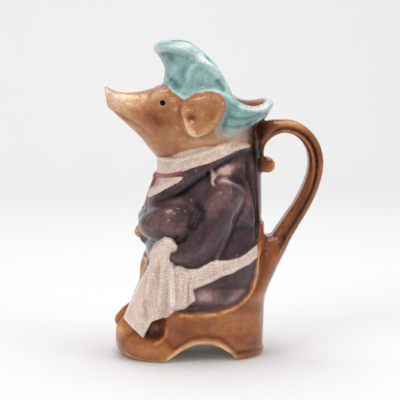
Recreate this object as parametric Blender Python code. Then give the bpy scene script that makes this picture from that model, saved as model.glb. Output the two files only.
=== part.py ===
"""A glazed earthenware pitcher in the form of a seated pig in a cap, jacket and apron.

The pig looks along -X, its handle is at +X and its left arm, with the napkin, is on the -Y side.
The figure is built as a potter would: forms of clay are laid over each other, fused into one body,
hollowed by a core and cut by the mouth and by the arch under the stool.
Coordinates of the figure are in carving units: one unit is a millimetre on a pitcher 240 mm tall.
"""

import math

import bmesh
import bpy
from mathutils import Matrix, Vector

HEIGHT = 0.240  # from the feet of the stool to the peak of the cap
WALL = 0.0045  # thickness of the body's wall, all round the cavity
CAP_WALL = 0.0040  # thickness of the wall round the mouth
CAVITY_FLOOR = 0.0060  # clay between the top of the arch and the cavity
ARCH_SPAN = 0.055  # length of the arch under the stool, along X
ARCH_RISE = 0.0150  # height of the arch
RIM_BEAD = 0.0026  # radius of the rolled rim round the mouth
HANDLE_WIDTH = 0.0170  # width of the handle's band, across the pitcher
COLLAR_RELIEF = 0.0024  # how far the collar stands out from the neck
JACKET_RELIEF = 0.0013
LAPEL_RELIEF = 0.0028
APRON_RELIEF = 0.0028
CAP_RELIEF = 0.0013
CHAIR_RELIEF = 0.0020

CARVING = HEIGHT / 240.0
VOXEL = HEIGHT / 160.0  # grid of the fused clay
RING_POINTS = 56
RING_STEPS = 4
KEPT_FACES = 0.058  # share of the fused clay's triangles that the finished solid keeps
BEYOND = 120.0  # how far a cutter reaches past the figure
OVER_CAP = 280.0  # a height above all of the figure
MIDDLE = 0.96  # how far the figure is moved along X, to stand over the middle of its length

GLAZE_COLOR = (0.28, 0.20, 0.20, 1.0)
GLAZE_ROUGHNESS = 0.15

# Each section of a form that stands upright: height, front, widest point, back, half width, squareness.
TORSO = [
    (15.0, -38, -12, 26, 31, 2.2),
    (22.0, -41, -12, 29, 35, 2.2),
    (32.0, -44, -12, 31, 38.5, 2.2),
    (42.0, -47, -11, 32.5, 42, 2.2),
    (54.0, -49, -10, 33.5, 44.5, 2.2),
    (66.0, -50.5, -10, 34.5, 45.5, 2.2),
    (80.0, -52, -10, 35, 44.5, 2.2),
    (95.0, -53, -10, 35, 42.5, 2.2),
    (108.0, -52.5, -9, 34.8, 40, 2.2),
    (120.0, -50, -8, 34.8, 38.5, 2.2),
    (132.0, -45.5, -6, 34.6, 37.5, 2.1),
    (142.0, -42.5, -5, 34.4, 36, 2.1),
    (152.0, -42.2, -4, 33.8, 33.5, 2.1),
    (163.0, -40.4, -4, 32.6, 32, 2.1),
    (172.0, -38, -4, 32, 31, 2.1),
]
CAP = [
    (166.0, -33, 0, 30, 31, 2.1),
    (173.0, -35, 0, 32.5, 33, 2.1),
    (180.0, -37, 2, 36.8, 34.5, 2.1),
    (186.0, -38, 4, 39.6, 35.5, 2.1),
    (191.0, -39, 5, 41.0, 35.5, 2.1),
    (196.0, -39.5, 5, 41.6, 34.5, 2.1),
    (202.0, -39.5, 4, 41.6, 32.5, 2.0),
    (208.0, -38.8, 2, 40.6, 30, 1.95),
    (214.0, -37.7, 1, 38, 28.5, 1.85),
    (220.0, -37.8, 0, 34, 27, 1.75),
    (226.0, -41.0, -2, 30, 25.5, 1.7),
    (230.5, -43.6, -4, 26, 24.2, 1.75),
    (234.0, -44.6, -6, 22, 23.0, 1.8),
    (237.0, -44.0, -7, 18, 22.0, 1.8),
    (240.0, -43.0, -8, 16, 21.2, 1.8),
    (243.0, -42.0, -9, 15, 20.4, 1.8),
]
SEAT = [
    (0.0, -49, -27, 35.2, 38.3, 2.1),
    (2.2, -51, -27, 37.0, 40.0, 2.1),
    (6.5, -51, -27, 37.0, 40.0, 2.1),
    (9.0, -49.5, -26, 35.8, 39.2, 2.8),
    (20.0, -49, -25, 36.2, 40.2, 2.9),
    (30.0, -48.5, -22, 36.6, 42.2, 2.7),
    (37.0, -48, -19, 36.8, 44.2, 2.4),
    (41.0, -47.5, -17, 36.8, 45.4, 2.1),
    (43.5, -46, -17, 35.4, 44.0, 2.1),
]
PLATFORM = [
    (0.0, -70.0, -36, 0, 34.0, 2.1),
    (2.5, -74.5, -36, 2, 37.6, 2.1),
    (7.0, -76.4, -36, 2, 39.4, 2.1),
    (12.5, -77.2, -36, 2, 39.2, 2.1),
    (17.0, -76.8, -36, 2, 36.8, 2.1),
    (20.5, -75.5, -36, 2, 32.0, 2.1),
    (23.0, -71.0, -36, 2, 25.0, 2.1),
    (24.0, -64.0, -36, 2, 15.0, 2.1),
]
CHAIR_BACK = [
    (30.0, -6, 8, 36.0, 32, 2.0),
    (40.0, -2, 10, 37.4, 36, 2.0),
    (48.0, 0, 13, 39.0, 38, 2.0),
    (54.0, 5, 16, 41.4, 34, 2.0),
    (61.0, 10, 19, 44.8, 29.5, 2.0),
    (69.0, 14, 22, 48.6, 25, 2.0),
    (77.0, 18, 26, 52.8, 20, 2.1),
    (84.0, 22, 31, 56.0, 15.5, 2.3),
    (88.5, 27, 38, 57.4, 12.0, 2.4),
    (90.5, 32, 41, 56.0, 8.5, 2.4),
]
# Each section of the head, which lies along X: place, lower edge, widest point, upper edge, half width,
# squareness, and lean, the share by which the upper edge is shifted along X.
HEAD = [
    (-83.2, 190.4, 197.6, 204.8, 7.8, 2.1, -0.14),
    (-81.8, 188.6, 197.0, 205.8, 9.5, 2.1, -0.14),
    (-79.0, 186.4, 195.6, 204.0, 9.5, 2.1, -0.13),
    (-74.0, 181.6, 192.4, 201.6, 10.2, 2.1, -0.10),
    (-66.0, 174.6, 188.4, 200.6, 12.6, 2.1, -0.06),
    (-57.5, 166.4, 185.0, 201.3, 16.5, 2.1, -0.03),
    (-49.0, 156.0, 182.0, 203.5, 21.5, 2.1, 0.0),
    (-41.0, 149.0, 179.0, 206.0, 26.5, 2.1, 0.0),
    (-31.0, 147.0, 177.0, 208.0, 31.0, 2.1, 0.0),
    (-19.0, 147.0, 176.0, 208.0, 34.0, 2.1, 0.0),
    (-6.0, 148.0, 176.0, 206.0, 35.5, 2.1, 0.0),
    (7.0, 149.0, 176.0, 203.0, 35.0, 2.1, 0.0),
    (18.0, 151.0, 175.0, 198.0, 31.5, 2.1, 0.0),
    (27.0, 155.0, 174.0, 190.0, 24.0, 2.1, 0.0),
    (32.0, 161.0, 172.0, 183.0, 13.0, 2.1, 0.0),
]

# Outlines in side view, as (x, z).
COLLAR_TOP = [(-60, 151.5), (-45.3, 152), (-38, 152.6), (-28.7, 153.6), (-21.6, 156.4), (-8.4, 160.5),
              (7.6, 166.3), (17.3, 169), (50, 174)]
COLLAR_FOOT = [(-60, 140.5), (-46.4, 141), (-38.4, 142.2), (-28, 145.4), (-19.5, 148.2), (-7.7, 151.4),
               (6.6, 157.4), (14, 160.6), (50, 166)]
JACKET_TOP = [(-60, 118), (-52.7, 124.8), (-44.1, 131.8), (-33.7, 138.4), (-25.3, 144.5), (-19.5, 147.4),
              (-7.7, 150.9), (6.6, 157), (14, 160.2), (20.2, 161.5)]
JACKET_BACK = [(20.5, 156), (20.2, 146), (20.3, 136.7), (23.4, 127.2), (26.2, 114), (27.2, 104), (27.6, 93.7),
               (28, 62)]
JACKET_TAIL = [(13.5, 113), (10.8, 104.4), (17, 105.6), (22.6, 104.9), (27, 104.4), (26.2, 114), (23.4, 127.2),
               (20.3, 136.7), (16, 126)]
LAPEL_FOOT = [(-60, 112), (-52.1, 118.5), (-41, 125), (-29.9, 132), (-24.4, 136.6), (-15, 143.2),
              (-5.5, 149.2), (3, 154.9), (12, 159.6)]
APRON_TOP = [(-30.5, 72), (-16.8, 73.1), (-7.8, 78), (-2.1, 79.6), (5.5, 79.8), (14.5, 82), (26.3, 86.9),
             (45, 95)]
APRON_FOOT = [(-21.5, 58.5), (-9.2, 63.4), (-2.1, 67.1), (2.6, 69), (8.9, 70.3), (14.5, 73.1), (21.5, 75.2),
              (27, 78.3), (45, 86)]
SEAT_EDGE = [(-34, 41.4), (-24, 40.6), (-15.4, 40.2), (-6, 40.8), (2.4, 42), (9, 44.2), (15.1, 47.4),
             (21.4, 54.6), (24.4, 61), (26.8, 68.7), (28.6, 78), (30.4, 88), (31.6, 98)]
CHAIR = SEAT_EDGE + [(32, 102), (60, 102), (60, 12), (-60, 12), (-60, 38)]
ARCH_TRIM = [(-42, 0), (-38.5, 7), (-30.5, 14.4), (-22, 18.6), (-11, 20), (-2, 18.6), (5, 14), (10, 8.6),
             (13.4, 5.4), (13.4, 0)]
RIM = [(-43.8, 235.0), (-39.4, 236.8), (-31, 237.4), (-21.6, 236.0), (-11.8, 229.6), (-2.6, 219.8),
       (4.2, 208.2), (9.0, 198.4), (15.2, 193), (24.7, 190), (32.6, 190.6), (37.6, 192.4), (42, 193.2)]
BRIM_FOOT = [(-60, 231.5), (-46.4, 231), (-34.3, 230.6), (-20.6, 227.4), (-12.5, 222.6), (-4.8, 216.0),
             (1.2, 207.8), (5.6, 199.8), (10.2, 193.4), (17, 188.6), (25.8, 186), (33.9, 186.4), (39.2, 188.4),
             (60, 193)]
CAP_EDGE = [(-60, 211.5), (-41.5, 210.4), (-39.7, 209), (-35.7, 204.8), (-28.5, 199.6), (-25.5, 197.4),
            (-22.8, 199), (-16.4, 202.6), (-6.7, 204.4), (0, 202.6), (4.5, 198.5), (6, 193.8), (4.6, 189.7),
            (2, 184.9), (0.2, 180.9), (-2.2, 176.8), (-4.3, 173.4), (3.9, 170.4), (15.1, 170.9), (22.5, 173.9),
            (28.4, 178.3), (36, 182), (60, 186)]
EAR = [(-28.8, 188.3), (-27.3, 195), (-24.2, 197.8), (-19.9, 200.6), (-14.3, 202.8), (-7.3, 203.6),
       (-2.2, 202.3), (1.3, 199.5), (3.2, 195.2), (2.7, 190.5), (-0.1, 183.4), (-3.4, 178.7), (-8.8, 173.6),
       (-15.9, 171), (-20.6, 171.6), (-24.6, 175.4), (-26.8, 181.8)]
NAPKIN = [(-44, 93.5), (-41.4, 96.4), (-36.3, 95), (-32.6, 90), (-33.3, 84.7), (-36.5, 81.7), (-34.8, 72.7),
          (-32.6, 68.1), (-31.1, 49.9), (-33.4, 42.4), (-37.9, 36.4), (-46.8, 33.5), (-51, 32.6),
          (-54.4, 25.8), (-57.4, 19.4), (-64.1, 25.6), (-71.2, 32), (-66.6, 43), (-61.4, 56), (-57.1, 63.9),
          (-52.8, 72.9), (-51.1, 82.7), (-48.2, 88.5)]
APRON_CORNER = [(-38, 74.5), (-30, 74.5), (-24.1, 72), (-21.6, 58.3), (-19.6, 49.6), (-24.4, 45.8),
                (-27.7, 43.5), (-34, 42), (-38, 44)]
HANDLE = [(34, 60), (40.5, 72), (47, 83.5), (53.2, 93.8), (59.8, 104), (66, 114), (71, 124), (74, 132),
          (75.9, 139.5), (76.4, 148), (74.6, 157), (70.2, 165), (64.2, 170.6), (57.6, 173.8), (50, 174.4),
          (43.2, 172.2), (37.6, 168), (33.8, 162.4), (32.4, 155.4), (32.8, 148.4), (35.0, 143.2),
          (38.6, 142.4)]
WIDER_FOOT = [1.5, 1.35, 1.2, 1.1, 1.04]  # the handle's first widths, as shares of the band's
HANDLE_HALF_DEPTH = [8, 7.6, 7.2, 6.8, 6.4, 6.1, 6, 5.9, 5.8, 5.7, 5.5, 5.3, 5.1, 5.0, 4.9, 4.8, 4.5, 4.1,
                     3.6, 3.4, 3.2, 3.0]
HANDLE_SHOULDER = [(30.6, 160.5), (34.4, 168.8), (40.4, 174.0), (48, 174.8)]  # clay that fills the nape
SHOULDER_HALF_DEPTH = 4.8
SHOULDER_SHARE = 0.86  # of the band's width
SCROLL = (38.8, 145.3)  # middle of the handle's rolled end
SCROLL_RADIUS = 5.8


def smoothed(points, steps):
    """Rows of numbers drawn through the given rows as one even curve, steps rows for each of them."""
    rows = []
    for i in range(len(points) - 1):
        before, start, end = points[max(i - 1, 0)], points[i], points[i + 1]
        after = points[min(i + 2, len(points) - 1)]
        for k in range(steps):
            t = k / steps
            rows.append(tuple(
                0.5 * (2 * b + (c - a) * t + (2 * a - 5 * b + 4 * c - d) * t**2 + (3 * b - a - 3 * c + d) * t**3)
                for a, b, c, d in zip(before, start, end, after)
            ))
    rows.append(tuple(float(x) for x in points[-1]))
    return rows


def mesh_object(name, points, faces):
    """A closed form from points in carving units."""
    mesh = bpy.data.meshes.new(name)
    mesh.from_pydata([Vector(p) * CARVING for p in points], [], faces)
    shell = bmesh.new()
    shell.from_mesh(mesh)
    bmesh.ops.recalc_face_normals(shell, faces=shell.faces[:])
    shell.to_mesh(mesh)
    shell.free()
    form = bpy.data.objects.new(name, mesh)
    bpy.context.scene.collection.objects.link(form)
    return form


def skinned(name, rings):
    """A closed form over rings of points, flat at both ends."""
    count = len(rings[0])
    faces = [tuple(range(count))[::-1], tuple((len(rings) - 1) * count + i for i in range(count))]
    for r in range(len(rings) - 1):
        for i in range(count):
            j = (i + 1) % count
            faces.append((r * count + i, r * count + j, (r + 1) * count + j, (r + 1) * count + i))
    return mesh_object(name, [p for ring in rings for p in ring], faces)


def oval(low, widest, high, half_width, square):
    """Points of an egg-shaped outline as (along, across)."""
    points = []
    for i in range(RING_POINTS):
        angle = 2 * math.pi * i / RING_POINTS
        u = math.copysign(abs(math.cos(angle)) ** (2 / square), math.cos(angle))
        v = math.copysign(abs(math.sin(angle)) ** (2 / square), math.sin(angle))
        reach = high - widest if u > 0 else widest - low
        points.append((widest + reach * u, half_width * v))
    return points


def upright(name, sections, grow=0.0, chimney=0.0):
    """A form standing along Z, grown by some units on every side, with its top carried straight up."""
    rings = []
    for z, front, widest, back, half_width, square in smoothed(sections, RING_STEPS):
        outline = oval(front - grow, widest, back + grow, half_width + grow, square)
        rings.append([(x, y, z) for x, y in outline])
    rings[0] = [(x, y, z - grow) for x, y, z in rings[0]]
    rings = [rings[0]] + [ring for ring in rings[1:] if ring[0][2] > rings[0][0][2]]
    if chimney:
        rings.append([(x, y, z + chimney) for x, y, z in rings[-1]])
    return skinned(name, rings)


def lying(name, sections, grow=0.0):
    """A form lying along X, grown by some units on every side."""
    rings = []
    for x, low, widest, high, half_width, square, lean in smoothed(sections, RING_STEPS):
        outline = oval(low - grow, widest, high + grow, half_width + grow, square)
        rings.append([(x + lean * (z - widest), y, z) for z, y in outline])
    return skinned(name, rings)


def half_width_at(sections, x, z):
    """Half the width of an upright form at a point of its side view."""
    rows = smoothed(sections, RING_STEPS)
    row = min(rows, key=lambda r: abs(r[0] - z))
    _, front, widest, back, half_width, square = row
    reach = back - widest if x > widest else widest - front
    share = min(abs(x - widest) / reach, 1.0)
    return half_width * (1 - share**square) ** (1 / square)


def head_half_width_at(x, z):
    rows = smoothed(HEAD, RING_STEPS)
    row = min(rows, key=lambda r: abs(r[0] - x))
    _, low, widest, high, half_width, square, _ = row
    reach = high - widest if z > widest else widest - low
    share = min(abs(z - widest) / reach, 1.0)
    return half_width * (1 - share**square) ** (1 / square)


def round_section(_, depth, width):
    return [
        (depth * math.cos(2 * math.pi * i / 24), width * math.sin(2 * math.pi * i / 24)) for i in range(24)
    ]


def tube(name, points, depths, widths=None, section=round_section, steps=RING_STEPS):
    """A form swept along a curve, with round ends. Depth is in the plane of the curve, width across it."""
    widths = widths or depths
    rows = smoothed([(*p, d, w) for p, d, w in zip(points, depths, widths)], steps)
    line = [Vector(row[:3]) for row in rows]
    rings = []
    side = None
    for i, row in enumerate(rows):
        along = (line[min(i + 1, len(line) - 1)] - line[max(i - 1, 0)]).normalized()
        if side is None:
            side = Vector((0, 1, 0))
        side = (side - along * side.dot(along)).normalized()
        out = side.cross(along)
        ends = [(-0.85, 0.53), (-0.5, 0.87)] if i == 0 else []
        ends.append((0.0, 1.0))
        if i == len(rows) - 1:
            ends += [(0.5, 0.87), (0.85, 0.53)]
        for shift, share in ends:
            centre = line[i] + along * shift * min(row[3], row[4])
            rings.append([
                centre + out * a * share + side * b * share for a, b in section(i / (len(rows) - 1), row[3], row[4])
            ])
    return skinned(name, rings)


def ball(name, centre, radii, turn=0.0):
    """An ellipsoid, turned about Y by some degrees."""
    shell = bmesh.new()
    place = Matrix.Translation(Vector(centre) * CARVING) @ Matrix.Rotation(math.radians(turn), 4, "Y")
    place = place @ Matrix.Diagonal((*(r * CARVING for r in radii), 1.0))
    bmesh.ops.create_uvsphere(shell, u_segments=28, v_segments=16, radius=1.0, matrix=place)
    mesh = bpy.data.meshes.new(name)
    shell.to_mesh(mesh)
    shell.free()
    form = bpy.data.objects.new(name, mesh)
    bpy.context.scene.collection.objects.link(form)
    return form


def slab(name, outline, low_y, high_y):
    """A side view outline made solid between two depths."""
    count = len(outline)
    points = [(x, y, z) for y in (low_y, high_y) for x, z in outline]
    faces = [tuple(range(count)), tuple(range(2 * count - 1, count - 1, -1))]
    faces += [(i, (i + 1) % count, count + (i + 1) % count, count + i) for i in range(count)]
    return mesh_object(name, points, faces)


def evaluated(form):
    """Replaces a form's mesh with what its modifiers make of it."""
    graph = bpy.context.evaluated_depsgraph_get()
    mesh = bpy.data.meshes.new_from_object(form.evaluated_get(graph))
    form.modifiers.clear()
    form.data = mesh
    return form


def cut(form, tool, operation):
    """Applies a Boolean of one form with another, and uses the other up."""
    boolean = form.modifiers.new(operation.title(), "BOOLEAN")
    boolean.operation = operation
    boolean.object = tool
    evaluated(form)
    bpy.data.objects.remove(tool)
    return form


def relief(name, host, outline, low_y=-BEYOND, high_y=BEYOND):
    """The part of a host form that lies inside an outline in side view."""
    return cut(host, slab(name + "_outline", outline, low_y, high_y), "INTERSECT")


def band(top, foot):
    """The outline between two lines that both run from the front to the back."""
    return top + foot[::-1]


def handle_section(_, depth, width):
    """A band with a shallow groove along its outer face and a ridge along each side."""
    side = [(1.0, 0.0), (1.06, 0.42), (0.98, 0.78), (0.62, 0.97), (0.36, 1.0), (0.14, 0.9), (-0.08, 0.97),
            (-0.42, 0.94), (-0.8, 0.74), (-0.98, 0.4), (-1.0, 0.0)]
    loop = side + [(a, -b) for a, b in side[-2:0:-1]]
    return [(-a * depth, b * width) for a, b in loop]


def ear(name, side):
    """A dished leaf with a raised edge, laid over the head and tucked under the cap's border at its top.

    Side is -1 for the pig's left, 1 for its right.
    """
    outline = smoothed(EAR + [EAR[0]], 3)[:-1]
    centre = Vector((sum(p[0] for p in outline), sum(p[1] for p in outline))) / len(outline)
    # Share of the way from the centre to the edge, and how far the leaf stands out there.
    profile = [(0.0, 2.0), (0.3, 2.3), (0.6, 3.2), (0.82, 4.6), (0.93, 4.6), (1.0, 3.2), (1.0, -6.0)]
    rings = []
    for share, lift in profile[1:]:
        ring = []
        for p in outline:
            x, z = centre.lerp(Vector(p), share)
            lobe = max(0.0, (centre.y - z) / 18.0) * share
            tucked = min(max((z - centre.y) / 14.0, 0.0), 1.0)
            stand = lift * (1 - 0.55 * tucked) + 3.0 * lobe if lift > 0 else lift
            under = max(head_half_width_at(x, z), half_width_at(CAP, x, z))
            ring.append((x, side * (under + stand), z))
        rings.append(ring)
    return skinned(name, rings)


def sheet(name, left, right, foot, top, out_of, inner_y):
    """A slab seen from the side whose near face lies at out_of(x, z)."""
    columns, rows = 40, 48
    near, far = [], []
    for r in range(rows + 1):
        for c in range(columns + 1):
            x = left + (right - left) * c / columns
            z = foot + (top - foot) * r / rows
            near.append((x, out_of(x, z), z))
            far.append((x, inner_y, z))
    wide = columns + 1
    faces = []
    for r in range(rows):
        for c in range(columns):
            i = r * wide + c
            faces.append((i, i + 1, i + wide + 1, i + wide))
            j = i + len(near)
            faces.append((j, j + wide, j + wide + 1, j + 1))
    border = [c for c in range(wide)] + [r * wide + columns for r in range(1, rows + 1)]
    border += [rows * wide + c for c in range(columns - 1, -1, -1)] + [r * wide for r in range(rows - 1, 0, -1)]
    for i, j in zip(border, border[1:] + border[:1]):
        faces.append((j, i, i + len(near), j + len(near)))
    return mesh_object(name, near + far, faces)


def napkin_face(x, z):
    """Where the napkin's near face lies: it falls from the forearm in folds that open towards its foot."""
    fall = min(max((96.0 - z) / 70.0, 0.0), 1.0)
    middle = -38.5 - 9.0 * fall
    half = 8.0 + 19.0 * fall
    across = (x - middle) / half
    fold = 1.3 * min(fall * 3.0, 1.0) * math.cos(across * 3.2 * math.pi + 0.4)
    shoulder = 46.0 - 9.5 * fall - 2.0 * math.exp(-((fall - 0.0) / 0.1) ** 2)
    wrap = max(-across - 0.25, 0.0)
    return -(shoulder + fold - 15.0 * wrap**1.6)


def apron_face(x, z):
    """The apron's corner lies on the thigh behind the napkin."""
    return -(45.4 + 0.9 * math.cos((x + 27.0) * 0.9) - 0.06 * max(60.0 - z, 0.0))


def on_body(line, stand, side):
    """Points of a side view line laid on the torso, standing off it by some units."""
    return [(x, side * (half_width_at(TORSO, x, z) + stand), z) for x, z in line]


def mirrored(points, side):
    return [(x, y * side, z) for x, y, z in points]


def torso_relief(name, depth, outline):
    return relief(name, upright(name + "_host", TORSO, depth / CARVING), outline)


def jacket_forms():
    forms = [
        torso_relief("jacket", JACKET_RELIEF, JACKET_TOP + JACKET_BACK + [(-60, 62)]),
        torso_relief("jacket_tail", 2 * JACKET_RELIEF, JACKET_TAIL),
        torso_relief("lapels", LAPEL_RELIEF, band(JACKET_TOP[:-2], LAPEL_FOOT)),
    ]
    sleeve = [(4, 32.5, 127.5), (-1, 36, 115.5), (-7.6, 37.8, 102.5), (-15.5, 38.3, 91), (-26, 38, 84.5),
              (-35, 36.5, 83)]
    for side in (-1, 1):
        forms += [
            tube("sleeve", mirrored(sleeve, side), [13.6, 12.6, 12.8, 13.0, 10.4, 8.2],
                 [13.6, 12.4, 11.2, 10.8, 10.0, 8.4]),
            tube("sleeve_fold", on_body([(-20.3, 122.8), (-21, 113), (-22.8, 101), (-26, 97)], 1.0, side),
                 [1.6, 2.2, 2.0, 1.4]),
        ]
    forms += [
        tube("left_breast", [(-25, -32.5, 104.5), (-36, -30, 104.5), (-45, -23.5, 103.8), (-49.4, -15, 102)],
             [11.5, 13.2, 12.6, 10.8]),
        tube("right_breast", [(-25, 32.5, 106), (-36, 29, 107), (-44, 21, 107), (-48, 13, 106)],
             [11, 12.2, 11.4, 9.6]),
    ]
    return forms


def leg_forms():
    forms = []
    for side in (-1, 1):
        forms += [
            tube("thigh", mirrored([(-6, 26, 60), (-24, 27, 66), (-40, 21, 70)], side), [17, 16.5, 13.6]),
            ball("hip", (-4, 25 * side, 55), (27, 22.6, 17.5)),
            tube("shin", mirrored([(-43.4, 18, 70), (-48.4, 15, 58), (-52.8, 15, 44), (-57, 16, 30)], side),
                 [12.2, 9.0, 8.0, 9.0]),
            tube("shoe", mirrored([(-46, 17, 26), (-55, 16.5, 29), (-63, 16, 27), (-69.6, 16, 22.4)], side),
                 [8.4, 10.0, 9.4, 7.8]),
            ball("heel", (-49, 23.5 * side, 24.6), (8.4, 10.4, 7.6)),
            tube("hem", mirrored([(-45.8, 16.5, 66), (-47.4, 15.5, 62)], side), [11.2, 10.5], steps=2),
        ]
    return forms


def front_forms():
    """The tie, the small mug and the trotter that holds it."""
    forms = []
    for side in (-1, 1):
        line = on_body([(-45.2, 137.6), (-42, 138.8), (-38.4, 140), (-33, 141.8), (-28, 143.6)], 0.6, side)
        forms.append(tube("tie_ribbon", line, [2.0, 1.8, 1.6, 1.5, 1.6]))
        forms.append(ball("tie_end", line[-1], (2.0, 2.2, 1.8)))
    tail = [(-46.2, 0, 136), (-48.4, 0, 130), (-50.9, 0, 123), (-53.0, 0, 115)]
    return forms + [
        ball("tie_knot", (-45.6, 0, 137.4), (2.6, 3.6, 2.8)),
        tube("tie_tail", tail, [1.5, 1.5, 1.6, 1.7], [2.4, 3.2, 4.0, 4.6]),
        tube("mug", [(-51.2, 1, 91), (-51.8, 1, 98.5), (-52.4, 1, 106)], [7.2, 6.8, 7.0]),
        tube("mug_handle", [(-52, -6, 107.4), (-56.3, -7.5, 107), (-58, -8, 102.4), (-56.8, -7.5, 97.4),
                            (-52, -6, 95.6)], [1.7] * 5),
        tube("right_trotter", [(-50, 12, 96.5), (-55, 5, 96), (-58.0, -1, 94.6)], [6.2, 5.2, 4.4]),
    ]


def head_forms():
    over = [(-BEYOND, OVER_CAP), (BEYOND, OVER_CAP)]
    above_rim = [(-BEYOND, RIM[0][1]), *RIM, (BEYOND, RIM[-1][1])] + over[::-1]
    depth = CAP_RELIEF / CARVING
    cloth = band(CAP_EDGE, over)
    forms = [
        lying("head", HEAD),
        torso_relief("collar", COLLAR_RELIEF, band(COLLAR_TOP, COLLAR_FOOT)),
        relief("cap_border", lying("cap_border_host", HEAD, depth), cloth),
    ]
    cap = [upright("cap", CAP), relief("cap_cloth", upright("cap_host", CAP, depth), cloth),
           relief("brim", upright("brim_host", CAP, 2 * depth), band(BRIM_FOOT, over))]
    for form in cap:
        forms.append(cut(form, slab("above_rim", above_rim, -BEYOND, BEYOND), "DIFFERENCE"))
    lean = CAP_WALL / CARVING * 0.5
    for side in (-1, 1):
        line = [(x, side * max(half_width_at(CAP, x, z) - lean, 0.0), z) for x, z in smoothed(RIM[:-1], 3)]
        forms.append(tube("rim_bead", line + [(39.8, 0, 193)], [RIM_BEAD / CARVING] * (len(line) + 1), steps=1))
        forms.append(ear("ear", side))
        forms.append(ball("brow", (-40, 14.5 * side, 198), (11, 6.3, 7.5), -20))
    return forms


def stool_forms():
    half_band = HANDLE_WIDTH / CARVING / 2
    widths = [half_band * s for s in WIDER_FOOT + [1.0] * (len(HANDLE) - len(WIDER_FOOT))]
    line = [(x, 0, z) for x, z in HANDLE]
    shoulder = [(x, 0, z) for x, z in HANDLE_SHOULDER]
    scroll = [(SCROLL[0] + x, SCROLL[1] + z) for x, z in round_section(0, SCROLL_RADIUS, SCROLL_RADIUS)]
    forms = [
        upright("seat", SEAT),
        upright("platform", PLATFORM),
        upright("chair_back", CHAIR_BACK),
        torso_relief("chair", CHAIR_RELIEF, CHAIR),
        relief("arch_trim", upright("arch_trim_host", SEAT, 0.9), ARCH_TRIM),
        tube("handle", line, HANDLE_HALF_DEPTH, widths, handle_section),
        tube("handle_shoulder", shoulder, [SHOULDER_HALF_DEPTH] * 4, [half_band * SHOULDER_SHARE] * 4),
        slab("scroll_end", scroll, -half_band, half_band),
    ]
    for side in (-1, 1):
        edge = on_body(SEAT_EDGE, 1.4, side)
        forms.append(tube("seat_edge", edge, [1.5] * len(edge)))
    return forms


def apron_forms():
    napkin = sheet("napkin", -74, -28, 15, 100, napkin_face, -14)
    corner = sheet("apron_corner", -42, -16, 38, 80, apron_face, -14)
    return [
        relief("napkin", napkin, NAPKIN),
        relief("apron_corner", corner, APRON_CORNER),
        torso_relief("apron", APRON_RELIEF, band(APRON_TOP, APRON_FOOT)),
    ]


def cavity():
    """The core that hollows the pitcher, from above the arch through the head to the mouth."""
    wall = WALL / CARVING
    floor = (ARCH_RISE + CAVITY_FLOOR) / CARVING
    body = upright("body_core", [row for row in TORSO if row[0] > floor], -wall)
    low = min(v.co.z for v in body.data.vertices)
    body.data.transform(Matrix.Translation((0, 0, floor * CARVING - low)))
    mouth = upright("mouth_core", CAP[:-4], -CAP_WALL / CARVING, chimney=40.0)
    snout = lying("snout_core", HEAD[3:-2], -wall)
    core = joined("cavity", [body, mouth, snout])
    remesh(core, "Fuse")
    nostrils = joined("nostrils", [ball("nostril", (-83.6, 3.4 * side, 197.6), (2.4, 1.7, 2.5)) for side in (-1, 1)])
    return joined("cutter", [evaluated(core), nostrils])


def joined(name, forms):
    """One object from several forms, which may still pass through each other."""
    shell = bmesh.new()
    for form in forms:
        shell.from_mesh(form.data)
        bpy.data.objects.remove(form)
    mesh = bpy.data.meshes.new(name)
    shell.to_mesh(mesh)
    shell.free()
    body = bpy.data.objects.new(name, mesh)
    bpy.context.scene.collection.objects.link(body)
    return body


def remesh(body, name):
    fuse = body.modifiers.new(name, "REMESH")
    fuse.mode = "VOXEL"
    fuse.voxel_size = VOXEL


def hidden(tool):
    tool.hide_render = True
    tool.display_type = "WIRE"
    return tool


def subtract(body, name, tool):
    boolean = body.modifiers.new(name, "BOOLEAN")
    boolean.operation = "DIFFERENCE"
    boolean.object = hidden(tool)


def arch():
    """The arch's outline, steeper towards the back foot, as a tunnel through the stool."""
    middle, half, rise = -13.5, ARCH_SPAN / CARVING / 2, ARCH_RISE / CARVING
    outline = []
    for i in range(25):
        u = -1 + 2 * i / 24
        curve = 1.7 if u < 0 else 2.2
        outline.append((middle + half * u, rise * (1 - abs(u) ** curve)))
    outline[0] = (outline[0][0] - 1.5, -1.0)
    outline[-1] = (outline[-1][0] + 1.0, -1.0)
    return slab("arch", outline, -BEYOND, BEYOND)


def glaze():
    material = bpy.data.materials.new("glazed_earthenware")
    material.use_nodes = True
    shader = material.node_tree.nodes["Principled BSDF"]
    shader.inputs["Base Color"].default_value = GLAZE_COLOR
    shader.inputs["Roughness"].default_value = GLAZE_ROUGHNESS
    shader.inputs["Metallic"].default_value = 0.0
    return material


def main():
    for obj in list(bpy.data.objects):
        bpy.data.objects.remove(obj)
    clay = [upright("torso", TORSO), *stool_forms(), *leg_forms(), *jacket_forms(), *apron_forms(),
            *front_forms(), *head_forms()]
    pitcher = joined("pig_pitcher", clay)
    pitcher.data.materials.clear()
    pitcher.data.materials.append(glaze())
    remesh(pitcher, "Fuse")
    cutters = {"Hollow": cavity(), "Arch": arch()}
    for form in (pitcher, *cutters.values()):
        form.location.x = MIDDLE * CARVING
    for name, cutter in cutters.items():
        subtract(pitcher, name, cutter)
    remesh(pitcher, "Round")
    soften = pitcher.modifiers.new("Soften", "SMOOTH")
    soften.factor = 0.5
    soften.iterations = 2
    thin = pitcher.modifiers.new("Thin", "DECIMATE")
    thin.ratio = KEPT_FACES


main()
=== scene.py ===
"""The looks of the pig pitcher: one piece of glazed earthenware on a white photo table.

The pitcher is built again from the same forms of clay as the solid, on a finer grid, so that folds,
eyes and edges can be carved into it. The glazes follow the form each point lies on.
Coordinates of the figure are in carving units: one unit is a millimetre on a pitcher 240 mm tall.
"""

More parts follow.
